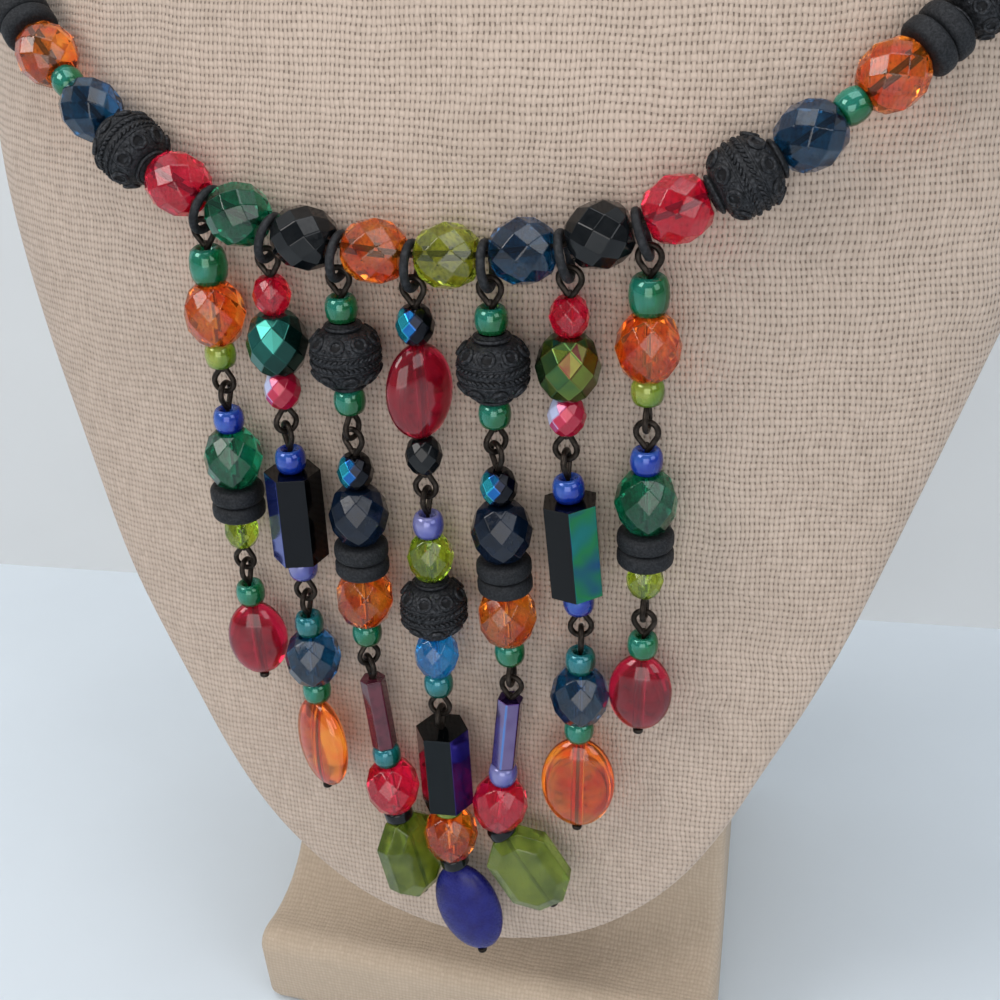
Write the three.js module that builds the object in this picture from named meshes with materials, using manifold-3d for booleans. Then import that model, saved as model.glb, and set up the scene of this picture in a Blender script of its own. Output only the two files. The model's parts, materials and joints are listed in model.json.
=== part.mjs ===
// A bib necklace on a neck bust, in millimetres with +Z up. The origin is the middle of the
// stand's underside, the chest looks along -Y, and +X is to the right of someone who faces it.

import * as THREE from 'three';
import { mergeVertices } from 'three/addons/utils/BufferGeometryUtils.js';
import Module from 'manifold-3d';

const wasm = await Module();
wasm.setup();

// Sizes of the bust's body: heights are above the ground, the depth is from chest to nape
const neckTopHeight = 220;
const shieldTipHeight = 26;
const shoulderWidth = 159;
const bodyDepth = 98.4;

// Sizes of the base that carries it
const baseWidth = 78;
const baseBackWidth = 62;
const baseDepth = 80;
const toeHeight = 16.5;
const toeReach = 18;
const baseRound = 3;

// Sizes of the wire work
const wireThickness = 0.9;
const eyeWidth = 3.7;
const jumpRingWidth = 6.4;
const jumpRingWire = 1.1;
const pinNeck = 0.3;
const pinHeadWidth = 1.4;
const pinHeadLength = 0.7;
const endInset = 0.05;

// Sizes of the beads, each named for what it is
const glassLength = 7.9;
const glassWidth = 8;
const strungGlassLength = 7.4;
const smallGlassLength = 6.3;
const smallGlassWidth = 6.2;
const tinyGlassLength = 4.8;
const tinyGlassWidth = 4.9;
const seedLength = 3.3;
const seedWidth = 4.1;
const discLength = 2.4;
const discWidth = 7.2;
const spacerLength = 2;
const spacerWidth = 4.2;
const ornateLength = 8.9;
const ornateWidth = 9;
const tubeLength = 12.9;
const tubeWidth = 7.5;
const bugleLength = 11.5;
const bugleWidth = 3.7;
const dropOvalLength = 11.8;
const dropOvalWidth = 8.4;
const redOvalLength = 12.6;
const redOvalWidth = 9;
const longOvalLength = 15;
const longOvalWidth = 10.2;
const lastOvalLength = 16;
const lastOvalWidth = 10;
const plainLength = 10.6;
const plainWidth = 7.2;
const cushionLength = 13;
const cushionWidth = 9.8;
const flatThickness = 4.8;

// Sizes of the clasp
const claspLength = 13;
const claspWidth = 6;

// Clearances: between linked or touching pieces, and between the string and the cloth under it
const linkGap = 0.3;
const seatGap = 0.45;
const ringPlay = 0.3;

// How finely round forms are cut
const beadSides = 10;
const tubeSides = 12;
const wireSides = 5;
const ringSides = 10;
const bodySides = 26;
const bodyLayers = 21;

// The body's level sections, from the tip of the shield to the top of the neck. The height is a
// share of the body's height, the width of the shoulders' and the depths of the body's. The front,
// the widest place and the back are each given by their depth. The body is thin up to the ledge,
// and from there its back reaches out over the stem.
const bodySections = [
  { height: 0.000, width: 0.038, front: 0.028, side: 0.036, back: 0.070 },
  { height: 0.012, width: 0.152, front: 0.021, side: 0.032, back: 0.110 },
  { height: 0.032, width: 0.255, front: 0.019, side: 0.030, back: 0.150 },
  { height: 0.067, width: 0.354, front: 0.019, side: 0.032, back: 0.185 },
  { height: 0.102, width: 0.426, front: 0.019, side: 0.036, back: 0.200 },
  { height: 0.150, width: 0.492, front: 0.019, side: 0.042, back: 0.204 },
  { height: 0.187, width: 0.533, front: 0.019, side: 0.048, back: 0.204, ledge: true },
  { height: 0.194, width: 0.540, front: 0.019, side: 0.049, back: 0.665 },
  { height: 0.255, width: 0.611, front: 0.019, side: 0.058, back: 0.715 },
  { height: 0.307, width: 0.664, front: 0.019, side: 0.068, back: 0.756 },
  { height: 0.359, width: 0.710, front: 0.019, side: 0.092, back: 0.790 },
  { height: 0.410, width: 0.753, front: 0.019, side: 0.116, back: 0.827 },
  { height: 0.475, width: 0.808, front: 0.015, side: 0.146, back: 0.858 },
  { height: 0.530, width: 0.856, front: 0.007, side: 0.186, back: 0.888 },
  { height: 0.582, width: 0.906, front: 0.000, side: 0.240, back: 0.914 },
  { height: 0.635, width: 0.955, front: 0.012, side: 0.315, back: 0.939 },
  { height: 0.697, width: 1.000, front: 0.045, side: 0.410, back: 0.970 },
  { height: 0.755, width: 0.957, front: 0.080, side: 0.460, back: 0.985 },
  { height: 0.809, width: 0.849, front: 0.110, side: 0.490, back: 0.995 },
  { height: 0.862, width: 0.733, front: 0.136, side: 0.520, back: 1.000 },
  { height: 0.915, width: 0.652, front: 0.160, side: 0.550, back: 1.000 },
  { height: 0.963, width: 0.608, front: 0.177, side: 0.572, back: 0.995 },
  { height: 1.000, width: 0.596, front: 0.182, side: 0.585, back: 0.990 },
];

// Where the string lies on the body: how far round it is from the middle of the chest, in degrees,
// and how high, as a share of the body's height
const stringRoute = [
  { round: 0, height: 0.5878 },
  { round: 10.8, height: 0.5933 },
  { round: 18, height: 0.6043 },
  { round: 28.2, height: 0.6293 },
  { round: 42.6, height: 0.6941 },
  { round: 54, height: 0.742 },
  { round: 68, height: 0.8 },
  { round: 86, height: 0.8546 },
  { round: 106, height: 0.8953 },
  { round: 130, height: 0.9273 },
  { round: 155, height: 0.9467 },
];
const stringNape = { round: 180, height: 0.9535 };

// Outlines of beads: a share of the length, a share of the width, and whether the ring of corners
// is turned by half a facet, or stands alternately proud and sunk as a twisted border does
const outlines = {
  cut: [
    { along: 0.2, wide: 0.84, turned: true },
    { along: 0.5, wide: 1 },
    { along: 0.8, wide: 0.84, turned: true },
  ],
  seed: [
    { along: 0.5, wide: 1 },
  ],
  disc: [
    { along: 0.12, wide: 1 },
    { along: 0.88, wide: 1 },
  ],
  ornate: [
    { along: 0.1, wide: 0.72 },
    { along: 0.35, wide: 1, border: true },
    { along: 0.65, wide: 1, border: true },
    { along: 0.9, wide: 0.72 },
  ],
  plain: [
    { along: 0.2, wide: 0.95 },
    { along: 0.8, wide: 0.95 },
  ],
  tube: [
    { along: 0.02, wide: 1 },
    { along: 0.98, wide: 1 },
  ],
  oval: [
    { along: 0.07, wide: 0.5 },
    { along: 0.32, wide: 0.93 },
    { along: 0.5, wide: 1 },
    { along: 0.68, wide: 0.93 },
    { along: 0.93, wide: 0.5 },
  ],
  cushion: [
    { along: 0.03, wide: 0.56 },
    { along: 0.26, wide: 1 },
    { along: 0.74, wide: 1 },
    { along: 0.97, wide: 0.56 },
  ],
};

// Every kind of bead: its sizes, its outline, how wide its ends are, and its sides if not round
const beadKinds = {
  glass: { long: glassLength, wide: glassWidth, outline: 'cut', end: 0.42 },
  strung: { long: strungGlassLength, wide: glassWidth, outline: 'cut', end: 0.42 },
  small: { long: smallGlassLength, wide: smallGlassWidth, outline: 'cut', end: 0.45 },
  tiny: { long: tinyGlassLength, wide: tinyGlassWidth, outline: 'cut', end: 0.5 },
  seed: { long: seedLength, wide: seedWidth, outline: 'seed', end: 0.72 },
  plain: { long: plainLength, wide: plainWidth, outline: 'plain', end: 0.45 },
  head: { long: pinHeadLength, wide: pinHeadWidth, outline: 'disc', end: 0.8 },
  disc: { long: discLength, wide: discWidth, outline: 'disc', end: 0.84 },
  spacer: { long: spacerLength, wide: spacerWidth, outline: 'disc', end: 0.8 },
  ornate: { long: ornateLength, wide: ornateWidth, outline: 'ornate', end: 0.42 },
  tube: { long: tubeLength, wide: tubeWidth, outline: 'tube', end: 0.86, corners: 6 },
  bugle: { long: bugleLength, wide: bugleWidth, outline: 'tube', end: 0.86 },
  dropOval: { long: dropOvalLength, wide: dropOvalWidth, thick: flatThickness, outline: 'oval', end: 0.2 },
  redOval: { long: redOvalLength, wide: redOvalWidth, thick: flatThickness, outline: 'oval', end: 0.2 },
  longOval: { long: longOvalLength, wide: longOvalWidth, thick: flatThickness, outline: 'oval', end: 0.18 },
  lastOval: { long: lastOvalLength, wide: lastOvalWidth, thick: flatThickness, outline: 'oval', end: 0.18 },
  cushion: { long: cushionLength, wide: cushionWidth, thick: flatThickness, outline: 'cushion', end: 0.25 },
};

// Colours of the glass, metal and cloth
const colours = {
  orange: 0xe8541c,
  emerald: 0x0c6b4c,
  navy: 0x13304f,
  jet: 0x14161a,
  red: 0xc01f3c,
  darkRed: 0x8d1226,
  olive: 0x6d8a1f,
  petrol: 0x12584f,
  cobalt: 0x1c2a8c,
  purple: 0x4a2a4c,
  wire: 0x2e2823,
  linen: 0xc9b5a6,
  linenBase: 0xbfae99,
};

// The seven drops from left to right. The place counts spaces between beads from the middle. Each
// length of wire gives the turn of its upper and lower eye, in degrees from facing the viewer, its
// lean to the right, its beads from the top, how flat beads are turned about the wire, and how far
// the last bead, and the spacer above it, hang askew.
const cutBeadTop = ['tiny', 'glass', 'seed'];
const cutBeadMiddle = ['seed', 'glass', 'disc', 'disc', 'tiny'];
const tubeMiddle = ['seed', 'tube', 'seed'];
const longOvalBottom = ['seed', 'glass', 'seed', 'longOval'];
const ornateTop = ['seed', 'ornate', 'seed'];
const discMiddle = ['tiny', 'glass', 'disc', 'disc', 'glass', 'seed'];
const cushionBottom = ['bugle', 'seed', 'glass', 'spacer', 'cushion'];
const centreTop = ['tiny', 'redOval', 'tiny'];
const centreMiddle = ['seed', 'small', 'ornate', 'small', 'seed'];
const centreBottom = ['tube', 'spacer', 'glass', 'spacer', 'lastOval'];

const drops = [
  {
    place: -3,
    wires: [
      { name: 'top', upper: 0, lower: 0, lean: 0, beads: cutBeadTop, colour: 'orange' },
      { name: 'middle', upper: 90, lower: 0, lean: -1, beads: cutBeadMiddle, colour: 'emerald' },
      { name: 'bottom', upper: 90, lean: 2, beads: ['seed', 'dropOval'], flatTurn: 20, colour: 'darkRed' },
    ],
  },
  {
    place: -2,
    wires: [
      { name: 'top', upper: 0, lower: 45, lean: 0, beads: ['tiny', 'glass', 'tiny'], colour: 'petrol' },
      { name: 'middle', upper: -45, lower: 0, lean: 0, beads: tubeMiddle, colour: 'jet' },
      { name: 'bottom', upper: 90, lean: 0, beads: longOvalBottom, flatTurn: -30, colour: 'orange' },
    ],
  },
  {
    place: -1,
    wires: [
      { name: 'top', upper: 0, lower: 75, lean: 0, beads: ornateTop, colour: 'wire' },
      { name: 'middle', upper: -15, lower: 45, lean: -1, beads: discMiddle, colour: 'navy' },
      { name: 'bottom', upper: -45, lean: 5, beads: cushionBottom, flatTurn: 65, askew: 7, colour: 'olive' },
    ],
  },
  {
    place: 0,
    wires: [
      { name: 'top', upper: 0, lower: 0, lean: 0, beads: centreTop, flatTurn: 48, colour: 'red' },
      { name: 'middle', upper: 90, lower: 0, lean: 0, beads: centreMiddle, colour: 'cobalt' },
      { name: 'bottom', upper: 90, lean: 1, beads: centreBottom, askew: 11, colour: 'cobalt' },
    ],
  },
  {
    place: 1,
    wires: [
      { name: 'top', upper: 0, lower: 45, lean: 0, beads: ornateTop, colour: 'wire' },
      { name: 'middle', upper: -45, lower: 90, lean: 1.5, beads: discMiddle, colour: 'navy' },
      { name: 'bottom', upper: 0, lean: -6.5, beads: cushionBottom, flatTurn: 10, askew: 38, colour: 'olive' },
    ],
  },
  {
    place: 2,
    wires: [
      { name: 'top', upper: 0, lower: 0, lean: -2, beads: ['tiny', 'glass', 'tiny'], colour: 'petrol' },
      { name: 'middle', upper: 90, lower: 15, lean: 4, beads: tubeMiddle, colour: 'jet' },
      { name: 'bottom', upper: -75, lean: -1.5, beads: longOvalBottom, flatTurn: 8, colour: 'orange' },
    ],
  },
  {
    place: 3,
    wires: [
      { name: 'top', upper: 0, lower: 90, lean: 0, beads: cutBeadTop, colour: 'orange' },
      { name: 'middle', upper: 0, lower: 90, lean: 0, beads: cutBeadMiddle, colour: 'emerald' },
      { name: 'bottom', upper: 0, lean: -2, beads: ['seed', 'dropOval'], flatTurn: 5, colour: 'darkRed' },
    ],
  },
];

// The string from the middle of the front outwards, the same on both sides. A space is left bare
// for each jump ring. Past the last of these, the hidden string goes on in plain beads.
const stringBeads = [
  'strung', 'space', 'strung', 'space', 'strung', 'space',
  'strung', 'ornate', 'strung', 'seed', 'strung', 'disc', 'disc', 'strung', 'disc', 'disc',
];

// Sizes worked out from those above
const ledgeSection = bodySections.findIndex((row) => row.ledge);
const bodyHeight = neckTopHeight - shieldTipHeight;
const wireRadius = wireThickness / 2;
const eyeRadius = eyeWidth / 2 - wireRadius;
const jumpWireRadius = jumpRingWire / 2;
const jumpRadius = jumpRingWidth / 2 - jumpWireRadius;
const ringSpace = jumpRingWire + 2 * ringPlay;
const eyeToEye = 2 * eyeRadius - wireThickness - linkGap;
const stemBack = baseDepth / 2;
const toeFront = -baseDepth / 2;
const stemFront = toeFront + toeReach;
const chestFront = stemFront - linkGap - bodySections[ledgeSection].back * bodyDepth;
const stemHeight = shieldTipHeight + bodySections[ledgeSection].height * bodyHeight - linkGap;

const degrees = (angle) => THREE.MathUtils.degToRad(angle);

const group = new THREE.Group();

// Gives a piece its name, colour and place in the scene
function addPiece(name, geometry, colour, finish = { roughness: 0.3, metalness: 0 }) {
  const material = new THREE.MeshStandardMaterial({ color: colours[colour], ...finish });
  const mesh = new THREE.Mesh(geometry, material);
  mesh.name = name;
  group.add(mesh);
  return mesh;
}

// Leaves only shared corner points, as a closed solid needs
function weld(geometry) {
  geometry.deleteAttribute('normal');
  geometry.deleteAttribute('uv');
  return mergeVertices(geometry, 1e-4);
}

function toSolid(geometry) {
  const welded = weld(geometry);
  return new wasm.Manifold(new wasm.Mesh({
    numProp: 3,
    vertProperties: new Float32Array(welded.attributes.position.array),
    triVerts: new Uint32Array(welded.index.array),
  }));
}

function toGeometry(solid) {
  const mesh = solid.getMesh();
  const geometry = new THREE.BufferGeometry();
  const points = new Float32Array(mesh.numVert * 3);
  for (let i = 0; i < mesh.numVert; i += 1) {
    for (let k = 0; k < 3; k += 1) {
      points[3 * i + k] = mesh.vertProperties[mesh.numProp * i + k];
    }
  }
  geometry.setAttribute('position', new THREE.BufferAttribute(points, 3));
  geometry.setIndex(new THREE.BufferAttribute(new Uint32Array(mesh.triVerts), 1));
  geometry.computeVertexNormals();
  return geometry;
}

// Joins rings of corners into one closed skin. Each ring is a list of points, and a turned ring has
// its corners halfway between those of the ring before.
function skin(rings) {
  const count = rings[0].points.length;
  const positions = rings.flatMap((ring) => ring.points.flatMap((point) => point.toArray()));
  const index = [];
  for (let r = 0; r + 1 < rings.length; r += 1) {
    for (let i = 0; i < count; i += 1) {
      const next = (i + 1) % count;
      const [a, b] = [r * count + i, r * count + next];
      const [c, d] = [(r + 1) * count + i, (r + 1) * count + next];
      if (rings[r].turned && !rings[r + 1].turned) {
        index.push(a, b, d, a, d, c);
      } else {
        index.push(a, b, c, b, d, c);
      }
    }
  }
  const last = (rings.length - 1) * count;
  for (let i = 1; i + 1 < count; i += 1) {
    index.push(0, i + 1, i);
    index.push(last, last + i, last + i + 1);
  }
  const geometry = new THREE.BufferGeometry();
  geometry.setAttribute('position', new THREE.Float32BufferAttribute(positions, 3));
  geometry.setIndex(index);
  geometry.computeVertexNormals();
  return geometry;
}

// One ring of corners across a bead: round, flat, or with straight sides between its corners
function beadRing(frame, row, kind, sides, turn) {
  const halfWide = (row.wide * kind.wide) / 2;
  const halfThick = (row.wide * (kind.thick ?? kind.wide)) / 2;
  const points = [];
  for (let i = 0; i < sides; i += 1) {
    const angle = ((i + (row.turned ? 0.5 : 0)) / sides) * 2 * Math.PI;
    let reach = 1;
    if (kind.corners) {
      const part = (2 * Math.PI) / kind.corners;
      const off = (((angle % part) + part) % part) - part / 2;
      reach = Math.cos(part / 2) / Math.cos(off);
    }
    if (row.border && i % 2) {
      reach = 0.95;
    }
    const across = halfWide * reach * Math.cos(angle);
    const out = halfThick * reach * Math.sin(angle);
    const side = across * Math.cos(turn) - out * Math.sin(turn);
    const front = across * Math.sin(turn) + out * Math.cos(turn);
    points.push(frame.at.clone().addScaledVector(frame.side, side).addScaledVector(frame.front, front));
  }
  return { points, turned: Boolean(row.turned) };
}

// The rings of a whole row of beads on a wire. place(distance) gives the frame at a distance along
// the wire. Where two beads meet they share one ring, as wide as the narrower end. Bare wire has a
// ring at each end, but a neck, between a bead and an eye, only at the eye.
function beadRings(beads, place, sides, flatTurn = 0) {
  const rings = [];
  const roundRing = (distance, wide) => beadRing(place(distance), { wide: 1 }, { wide }, sides, 0);
  const endWidth = (bead) => {
    if (!bead || bead.bare) {
      return Infinity;
    }
    return beadKinds[bead.kind].end * beadKinds[bead.kind].wide;
  };
  let distance = 0;
  beads.forEach((bead, i) => {
    const before = beads[i - 1];
    const after = beads[i + 1];
    const far = distance + bead.long;
    if (bead.bare) {
      if (!bead.neck || !before) {
        rings.push(roundRing(distance, wireThickness));
      }
      if (!bead.neck || !after) {
        rings.push(roundRing(far, wireThickness));
      }
    } else {
      const kind = beadKinds[bead.kind];
      const start = endWidth(before) === Infinity ? distance + endInset : distance;
      rings.push(roundRing(start, Math.min(endWidth(before), endWidth(bead))));
      outlines[kind.outline].forEach((row) => {
        const frame = place(distance + row.along * bead.long);
        rings.push(beadRing(frame, row, kind, sides, kind.thick ? flatTurn : 0));
      });
      if (endWidth(after) === Infinity) {
        rings.push(roundRing(far - endInset, endWidth(bead)));
      }
    }
    distance = far;
  });
  return rings;
}

// The body of the bust: a skin through level sections that run smoothly into each other
const sectionKeys = ['height', 'width', 'front', 'side', 'back'];

function smoothed(values, at) {
  const i = Math.min(Math.floor(at), values.length - 2);
  const t = at - i;
  const slope = (k) => {
    if (k <= 0 || k >= values.length - 1) {
      return 0;
    }
    return (values[k + 1] - values[k - 1]) / 2;
  };
  const [t2, t3] = [t * t, t * t * t];
  const level = values[i] * (2 * t3 - 3 * t2 + 1) + values[i + 1] * (3 * t2 - 2 * t3);
  return level + slope(i) * (t3 - 2 * t2 + t) + slope(i + 1) * (t3 - t2);
}

function sectionAt(share) {
  const above = bodySections.findIndex((row) => row.height >= share);
  const i = (above < 0 ? bodySections.length - 1 : Math.max(above, 1)) - 1;
  const [low, high] = [bodySections[i], bodySections[i + 1]];
  const part = (share - low.height) / (high.height - low.height);
  const section = {};
  sectionKeys.forEach((key) => {
    const upper = bodySections.slice(ledgeSection + 1);
    const useUpper = i > ledgeSection;
    const list = useUpper ? upper : bodySections.slice(0, ledgeSection + 2);
    const from = useUpper ? i - ledgeSection - 1 : i;
    section[key] = i === ledgeSection
      ? THREE.MathUtils.lerp(low[key], high[key], part)
      : smoothed(list.map((row) => row[key]), from + part);
  });
  section.height = share;
  return section;
}

// A point on the body, by how far round and how high
function bodyPoint(round, share) {
  const section = sectionAt(share);
  const angle = degrees(round);
  const cosine = Math.cos(angle);
  const reach = cosine > 0 ? section.side - section.front : section.back - section.side;
  return new THREE.Vector3(
    (section.width * shoulderWidth * Math.sin(angle)) / 2,
    chestFront + (section.side - reach * cosine) * bodyDepth,
    shieldTipHeight + share * bodyHeight,
  );
}

function bodyNormal(round, share) {
  const step = 0.004;
  const around = bodyPoint(round + 1, share).sub(bodyPoint(round - 1, share));
  const up = bodyPoint(round, share + step).sub(bodyPoint(round, share - step));
  return around.cross(up).normalize();
}

function bodyGeometry() {
  const rings = [];
  const shares = bodySections.slice(0, ledgeSection + 2).map((row) => row.height);
  const top = bodySections.length - 1;
  const layersAbove = bodyLayers - ledgeSection - 2;
  const start = bodySections[ledgeSection + 1].height;
  for (let k = 1; k <= layersAbove; k += 1) {
    shares.push(start + ((bodySections[top].height - start) * k) / layersAbove);
  }
  shares.forEach((share) => {
    const points = [];
    for (let i = 0; i < bodySides; i += 1) {
      points.push(bodyPoint((i / bodySides) * 360, share));
    }
    rings.push({ points });
  });
  return skin(rings);
}

addPiece('bust_body', bodyGeometry(), 'linen', { roughness: 0.95, metalness: 0 });

// The base: one side view drawn out to its width, a stem behind the shield and a toe in front. Its
// sides draw together towards the back.
function baseGeometry() {
  const outline = new THREE.Shape();
  const stemStart = toeHeight + toeReach * 0.9;
  const ease = baseRound * 1.5;
  outline.moveTo(toeFront + ease * 0.4, 0);
  outline.lineTo(stemBack, 0);
  outline.lineTo(stemBack - ease, stemHeight - ease);
  outline.quadraticCurveTo(stemBack - ease, stemHeight, stemBack - 2 * ease, stemHeight);
  outline.lineTo(stemFront, stemHeight);
  outline.lineTo(stemFront, stemStart);
  outline.quadraticCurveTo(stemFront, toeHeight + ease, toeFront + ease, toeHeight);
  outline.quadraticCurveTo(toeFront, toeHeight - ease * 0.3, toeFront, toeHeight - ease);
  outline.closePath();
  const geometry = new THREE.ExtrudeGeometry(outline, {
    depth: baseWidth - 2 * baseRound,
    curveSegments: 5,
    bevelThickness: baseRound,
    bevelSize: baseRound,
    bevelOffset: -baseRound,
    bevelSegments: 2,
  });
  geometry.translate(0, 0, -(baseWidth - 2 * baseRound) / 2);
  const upright = new THREE.Matrix4().makeBasis(
    new THREE.Vector3(0, 1, 0),
    new THREE.Vector3(0, 0, 1),
    new THREE.Vector3(1, 0, 0),
  );
  geometry.applyMatrix4(upright);
  const points = geometry.attributes.position;
  for (let i = 0; i < points.count; i += 1) {
    const depthShare = (points.getY(i) - toeFront) / baseDepth;
    const narrowing = THREE.MathUtils.lerp(1, baseBackWidth / baseWidth, depthShare);
    points.setX(i, points.getX(i) * narrowing);
  }
  return weld(geometry);
}

addPiece('bust_base', baseGeometry(), 'linenBase', { roughness: 0.95, metalness: 0 });

// The string's path: a closed loop that lies on the body by half a bead and the seat gap
const stringOffset = glassWidth / 2 + seatGap;
const stringPoint = ({ round, height }, sign) => {
  const point = bodyPoint(round, height).addScaledVector(bodyNormal(round, height), stringOffset);
  point.x *= sign;
  return point;
};
const stringLoop = new THREE.CatmullRomCurve3([
  stringPoint(stringNape, 1),
  ...stringRoute.slice(1).reverse().map((stop) => stringPoint(stop, -1)),
  ...stringRoute.map((stop) => stringPoint(stop, 1)),
], true, 'centripetal');
stringLoop.arcLengthDivisions = 1200;
const stringLength = stringLoop.getLength();

// The frame of the string at a distance from the middle of the front, to the right if positive
function stringFrame(distance) {
  const share = THREE.MathUtils.euclideanModulo(0.5 + distance / stringLength, 1);
  const at = stringLoop.getPointAt(share);
  const along = stringLoop.getTangentAt(share);
  const neckAxis = new THREE.Vector3(0, chestFront + bodyDepth / 2, at.z);
  const outward = at.clone().sub(neckAxis).setZ(0).normalize();
  const front = outward.addScaledVector(along, -outward.dot(along)).normalize();
  return { at, along, front, side: front.clone().cross(along).normalize() };
}

// One half of the string, as a row of beads and bare wire out to the clasp
function stringHalf(sign, extraWire) {
  const beads = [{ bare: true, long: extraWire + ringSpace / 2 }];
  stringBeads.forEach((kind) => {
    beads.push(kind === 'space' ? { bare: true, long: ringSpace } : { kind, long: beadKinds[kind].long });
  });
  const used = beads.reduce((sum, bead) => sum + bead.long, -extraWire);
  const room = stringLength / 2 - claspLength / 2 - linkGap - used;
  const repeats = Math.round(room / plainLength);
  for (let k = 0; k < repeats; k += 1) {
    beads.push({ kind: 'plain', long: room / repeats });
  }
  const place = (distance) => {
    const frame = stringFrame(sign * (distance - extraWire));
    if (sign < 0) {
      frame.along.negate();
      frame.side.negate();
    }
    return frame;
  };
  return skin(beadRings(beads, place, beadSides));
}

// The left half's wire runs on under the middle ring, up to the first bead of the right half
const stringStart = ringSpace / 2 - linkGap;
addPiece('string_left', stringHalf(-1, stringStart), 'navy');
addPiece('string_right', stringHalf(1, -ringSpace / 2 + 0.001), 'navy');

// The hidden clasp, a plain barrel between the two ends of the string
function claspGeometry() {
  const half = claspLength / 2;
  const radius = claspWidth / 2;
  const profile = [
    [0, -half],
    [radius * 0.5, -half],
    [radius, -half * 0.7],
    [radius, half * 0.7],
    [radius * 0.5, half],
    [0, half],
  ].map(([x, y]) => new THREE.Vector2(x, y));
  return weld(new THREE.LatheGeometry(profile, beadSides));
}

const clasp = addPiece('clasp', claspGeometry(), 'wire', { roughness: 0.5, metalness: 0.8 });
const nape = stringFrame(stringLength / 2);
clasp.position.copy(nape.at);
clasp.quaternion.setFromUnitVectors(new THREE.Vector3(0, 1, 0), nape.along);

// An eye of wire: the turn is from facing the viewer, about the wire's own length
function eyeSolid(turn, height) {
  const eye = new THREE.TorusGeometry(eyeRadius, wireRadius, wireSides, ringSides);
  eye.rotateX(Math.PI / 2);
  eye.rotateZ(degrees(turn));
  eye.translate(0, 0, height);
  return toSolid(eye);
}

// A length of wire with its beads, hanging from the middle of its upper eye. It returns the solid
// and the distance down to the middle of its lower eye.
function wireOfBeads({ upper, lower, beads, flatTurn = 0, askew = 0 }) {
  const hasLower = lower !== undefined;
  const sides = beads.some((kind) => beadKinds[kind].corners) ? tubeSides : beadSides;
  const start = eyeRadius;
  const list = [
    { bare: true, neck: true, long: wireRadius + pinNeck },
    ...beads.map((kind) => ({ kind, long: beadKinds[kind].long })),
  ];
  const straight = list.slice(0, -2).reduce((sum, bead) => sum + bead.long, 0);
  const whole = list.slice(-2).reduce((sum, bead) => sum + bead.long, straight);
  const neck = { bare: true, neck: true, long: wireRadius + pinNeck };
  list.push(hasLower ? neck : { kind: 'head', long: pinHeadLength });
  const place = (distance) => {
    const past = Math.max(0, distance - straight);
    const bend = past > 0 ? degrees(askew) : 0;
    const along = new THREE.Vector3(Math.sin(bend), 0, -Math.cos(bend));
    const at = new THREE.Vector3(0, 0, -start - Math.min(distance, straight)).addScaledVector(along, past);
    const front = new THREE.Vector3(0, -1, 0);
    return { at, along, front, side: front.clone().cross(along) };
  };
  const solid = toSolid(skin(beadRings(list, place, sides, degrees(flatTurn)))).add(eyeSolid(upper, 0));
  if (!hasLower) {
    return { geometry: toGeometry(solid) };
  }
  const length = start + whole + pinNeck + wireRadius + eyeRadius;
  return { geometry: toGeometry(solid.add(eyeSolid(lower, -length))), length };
}

// The drops: a jump ring over the bare wire, then lengths of beads linked eye in eye
const down = new THREE.Vector3(0, 0, -1);

drops.forEach((drop, number) => {
  const name = `drop_${number + 1}`;
  const frame = stringFrame(drop.place * (strungGlassLength + ringSpace));
  const descent = down.clone().addScaledVector(frame.along, -down.dot(frame.along)).normalize();
  const ring = addPiece(
    `${name}_ring`,
    weld(new THREE.TorusGeometry(jumpRadius, jumpWireRadius, wireSides, ringSides)),
    'wire',
    { roughness: 0.5, metalness: 0.8 },
  );
  ring.position.copy(frame.at).addScaledVector(descent, jumpRadius - jumpWireRadius - wireRadius - linkGap);
  const across = frame.along.clone().cross(descent);
  ring.quaternion.setFromRotationMatrix(new THREE.Matrix4().makeBasis(descent, across, frame.along));
  const hook = ring.position.clone().addScaledVector(descent, jumpRadius);
  const hang = hook.addScaledVector(down, eyeRadius - jumpWireRadius - wireRadius - linkGap);
  drop.wires.forEach((wire) => {
    const { geometry, length } = wireOfBeads(wire);
    const mesh = addPiece(`${name}_${wire.name}`, geometry, wire.colour);
    mesh.position.copy(hang);
    mesh.rotation.y = -degrees(wire.lean);
    if (length) {
      const wireDown = new THREE.Vector3(Math.sin(degrees(wire.lean)), 0, -Math.cos(degrees(wire.lean)));
      hang.addScaledVector(wireDown, length).addScaledVector(down, eyeToEye);
    }
  });
});

export default group;
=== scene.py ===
# %% [markdown]
# # A beaded bib necklace on a linen neck bust
#
# The real object is a string of faceted glass and dark metal beads with seven wired drops, worn by
# a display bust that is covered in linen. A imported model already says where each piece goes. Here
# every piece of it is modelled again with the detail that the eye wants, and given its finish.

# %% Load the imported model
import json
import math

import bmesh
import bpy
from mathutils import Matrix, Vector

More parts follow.
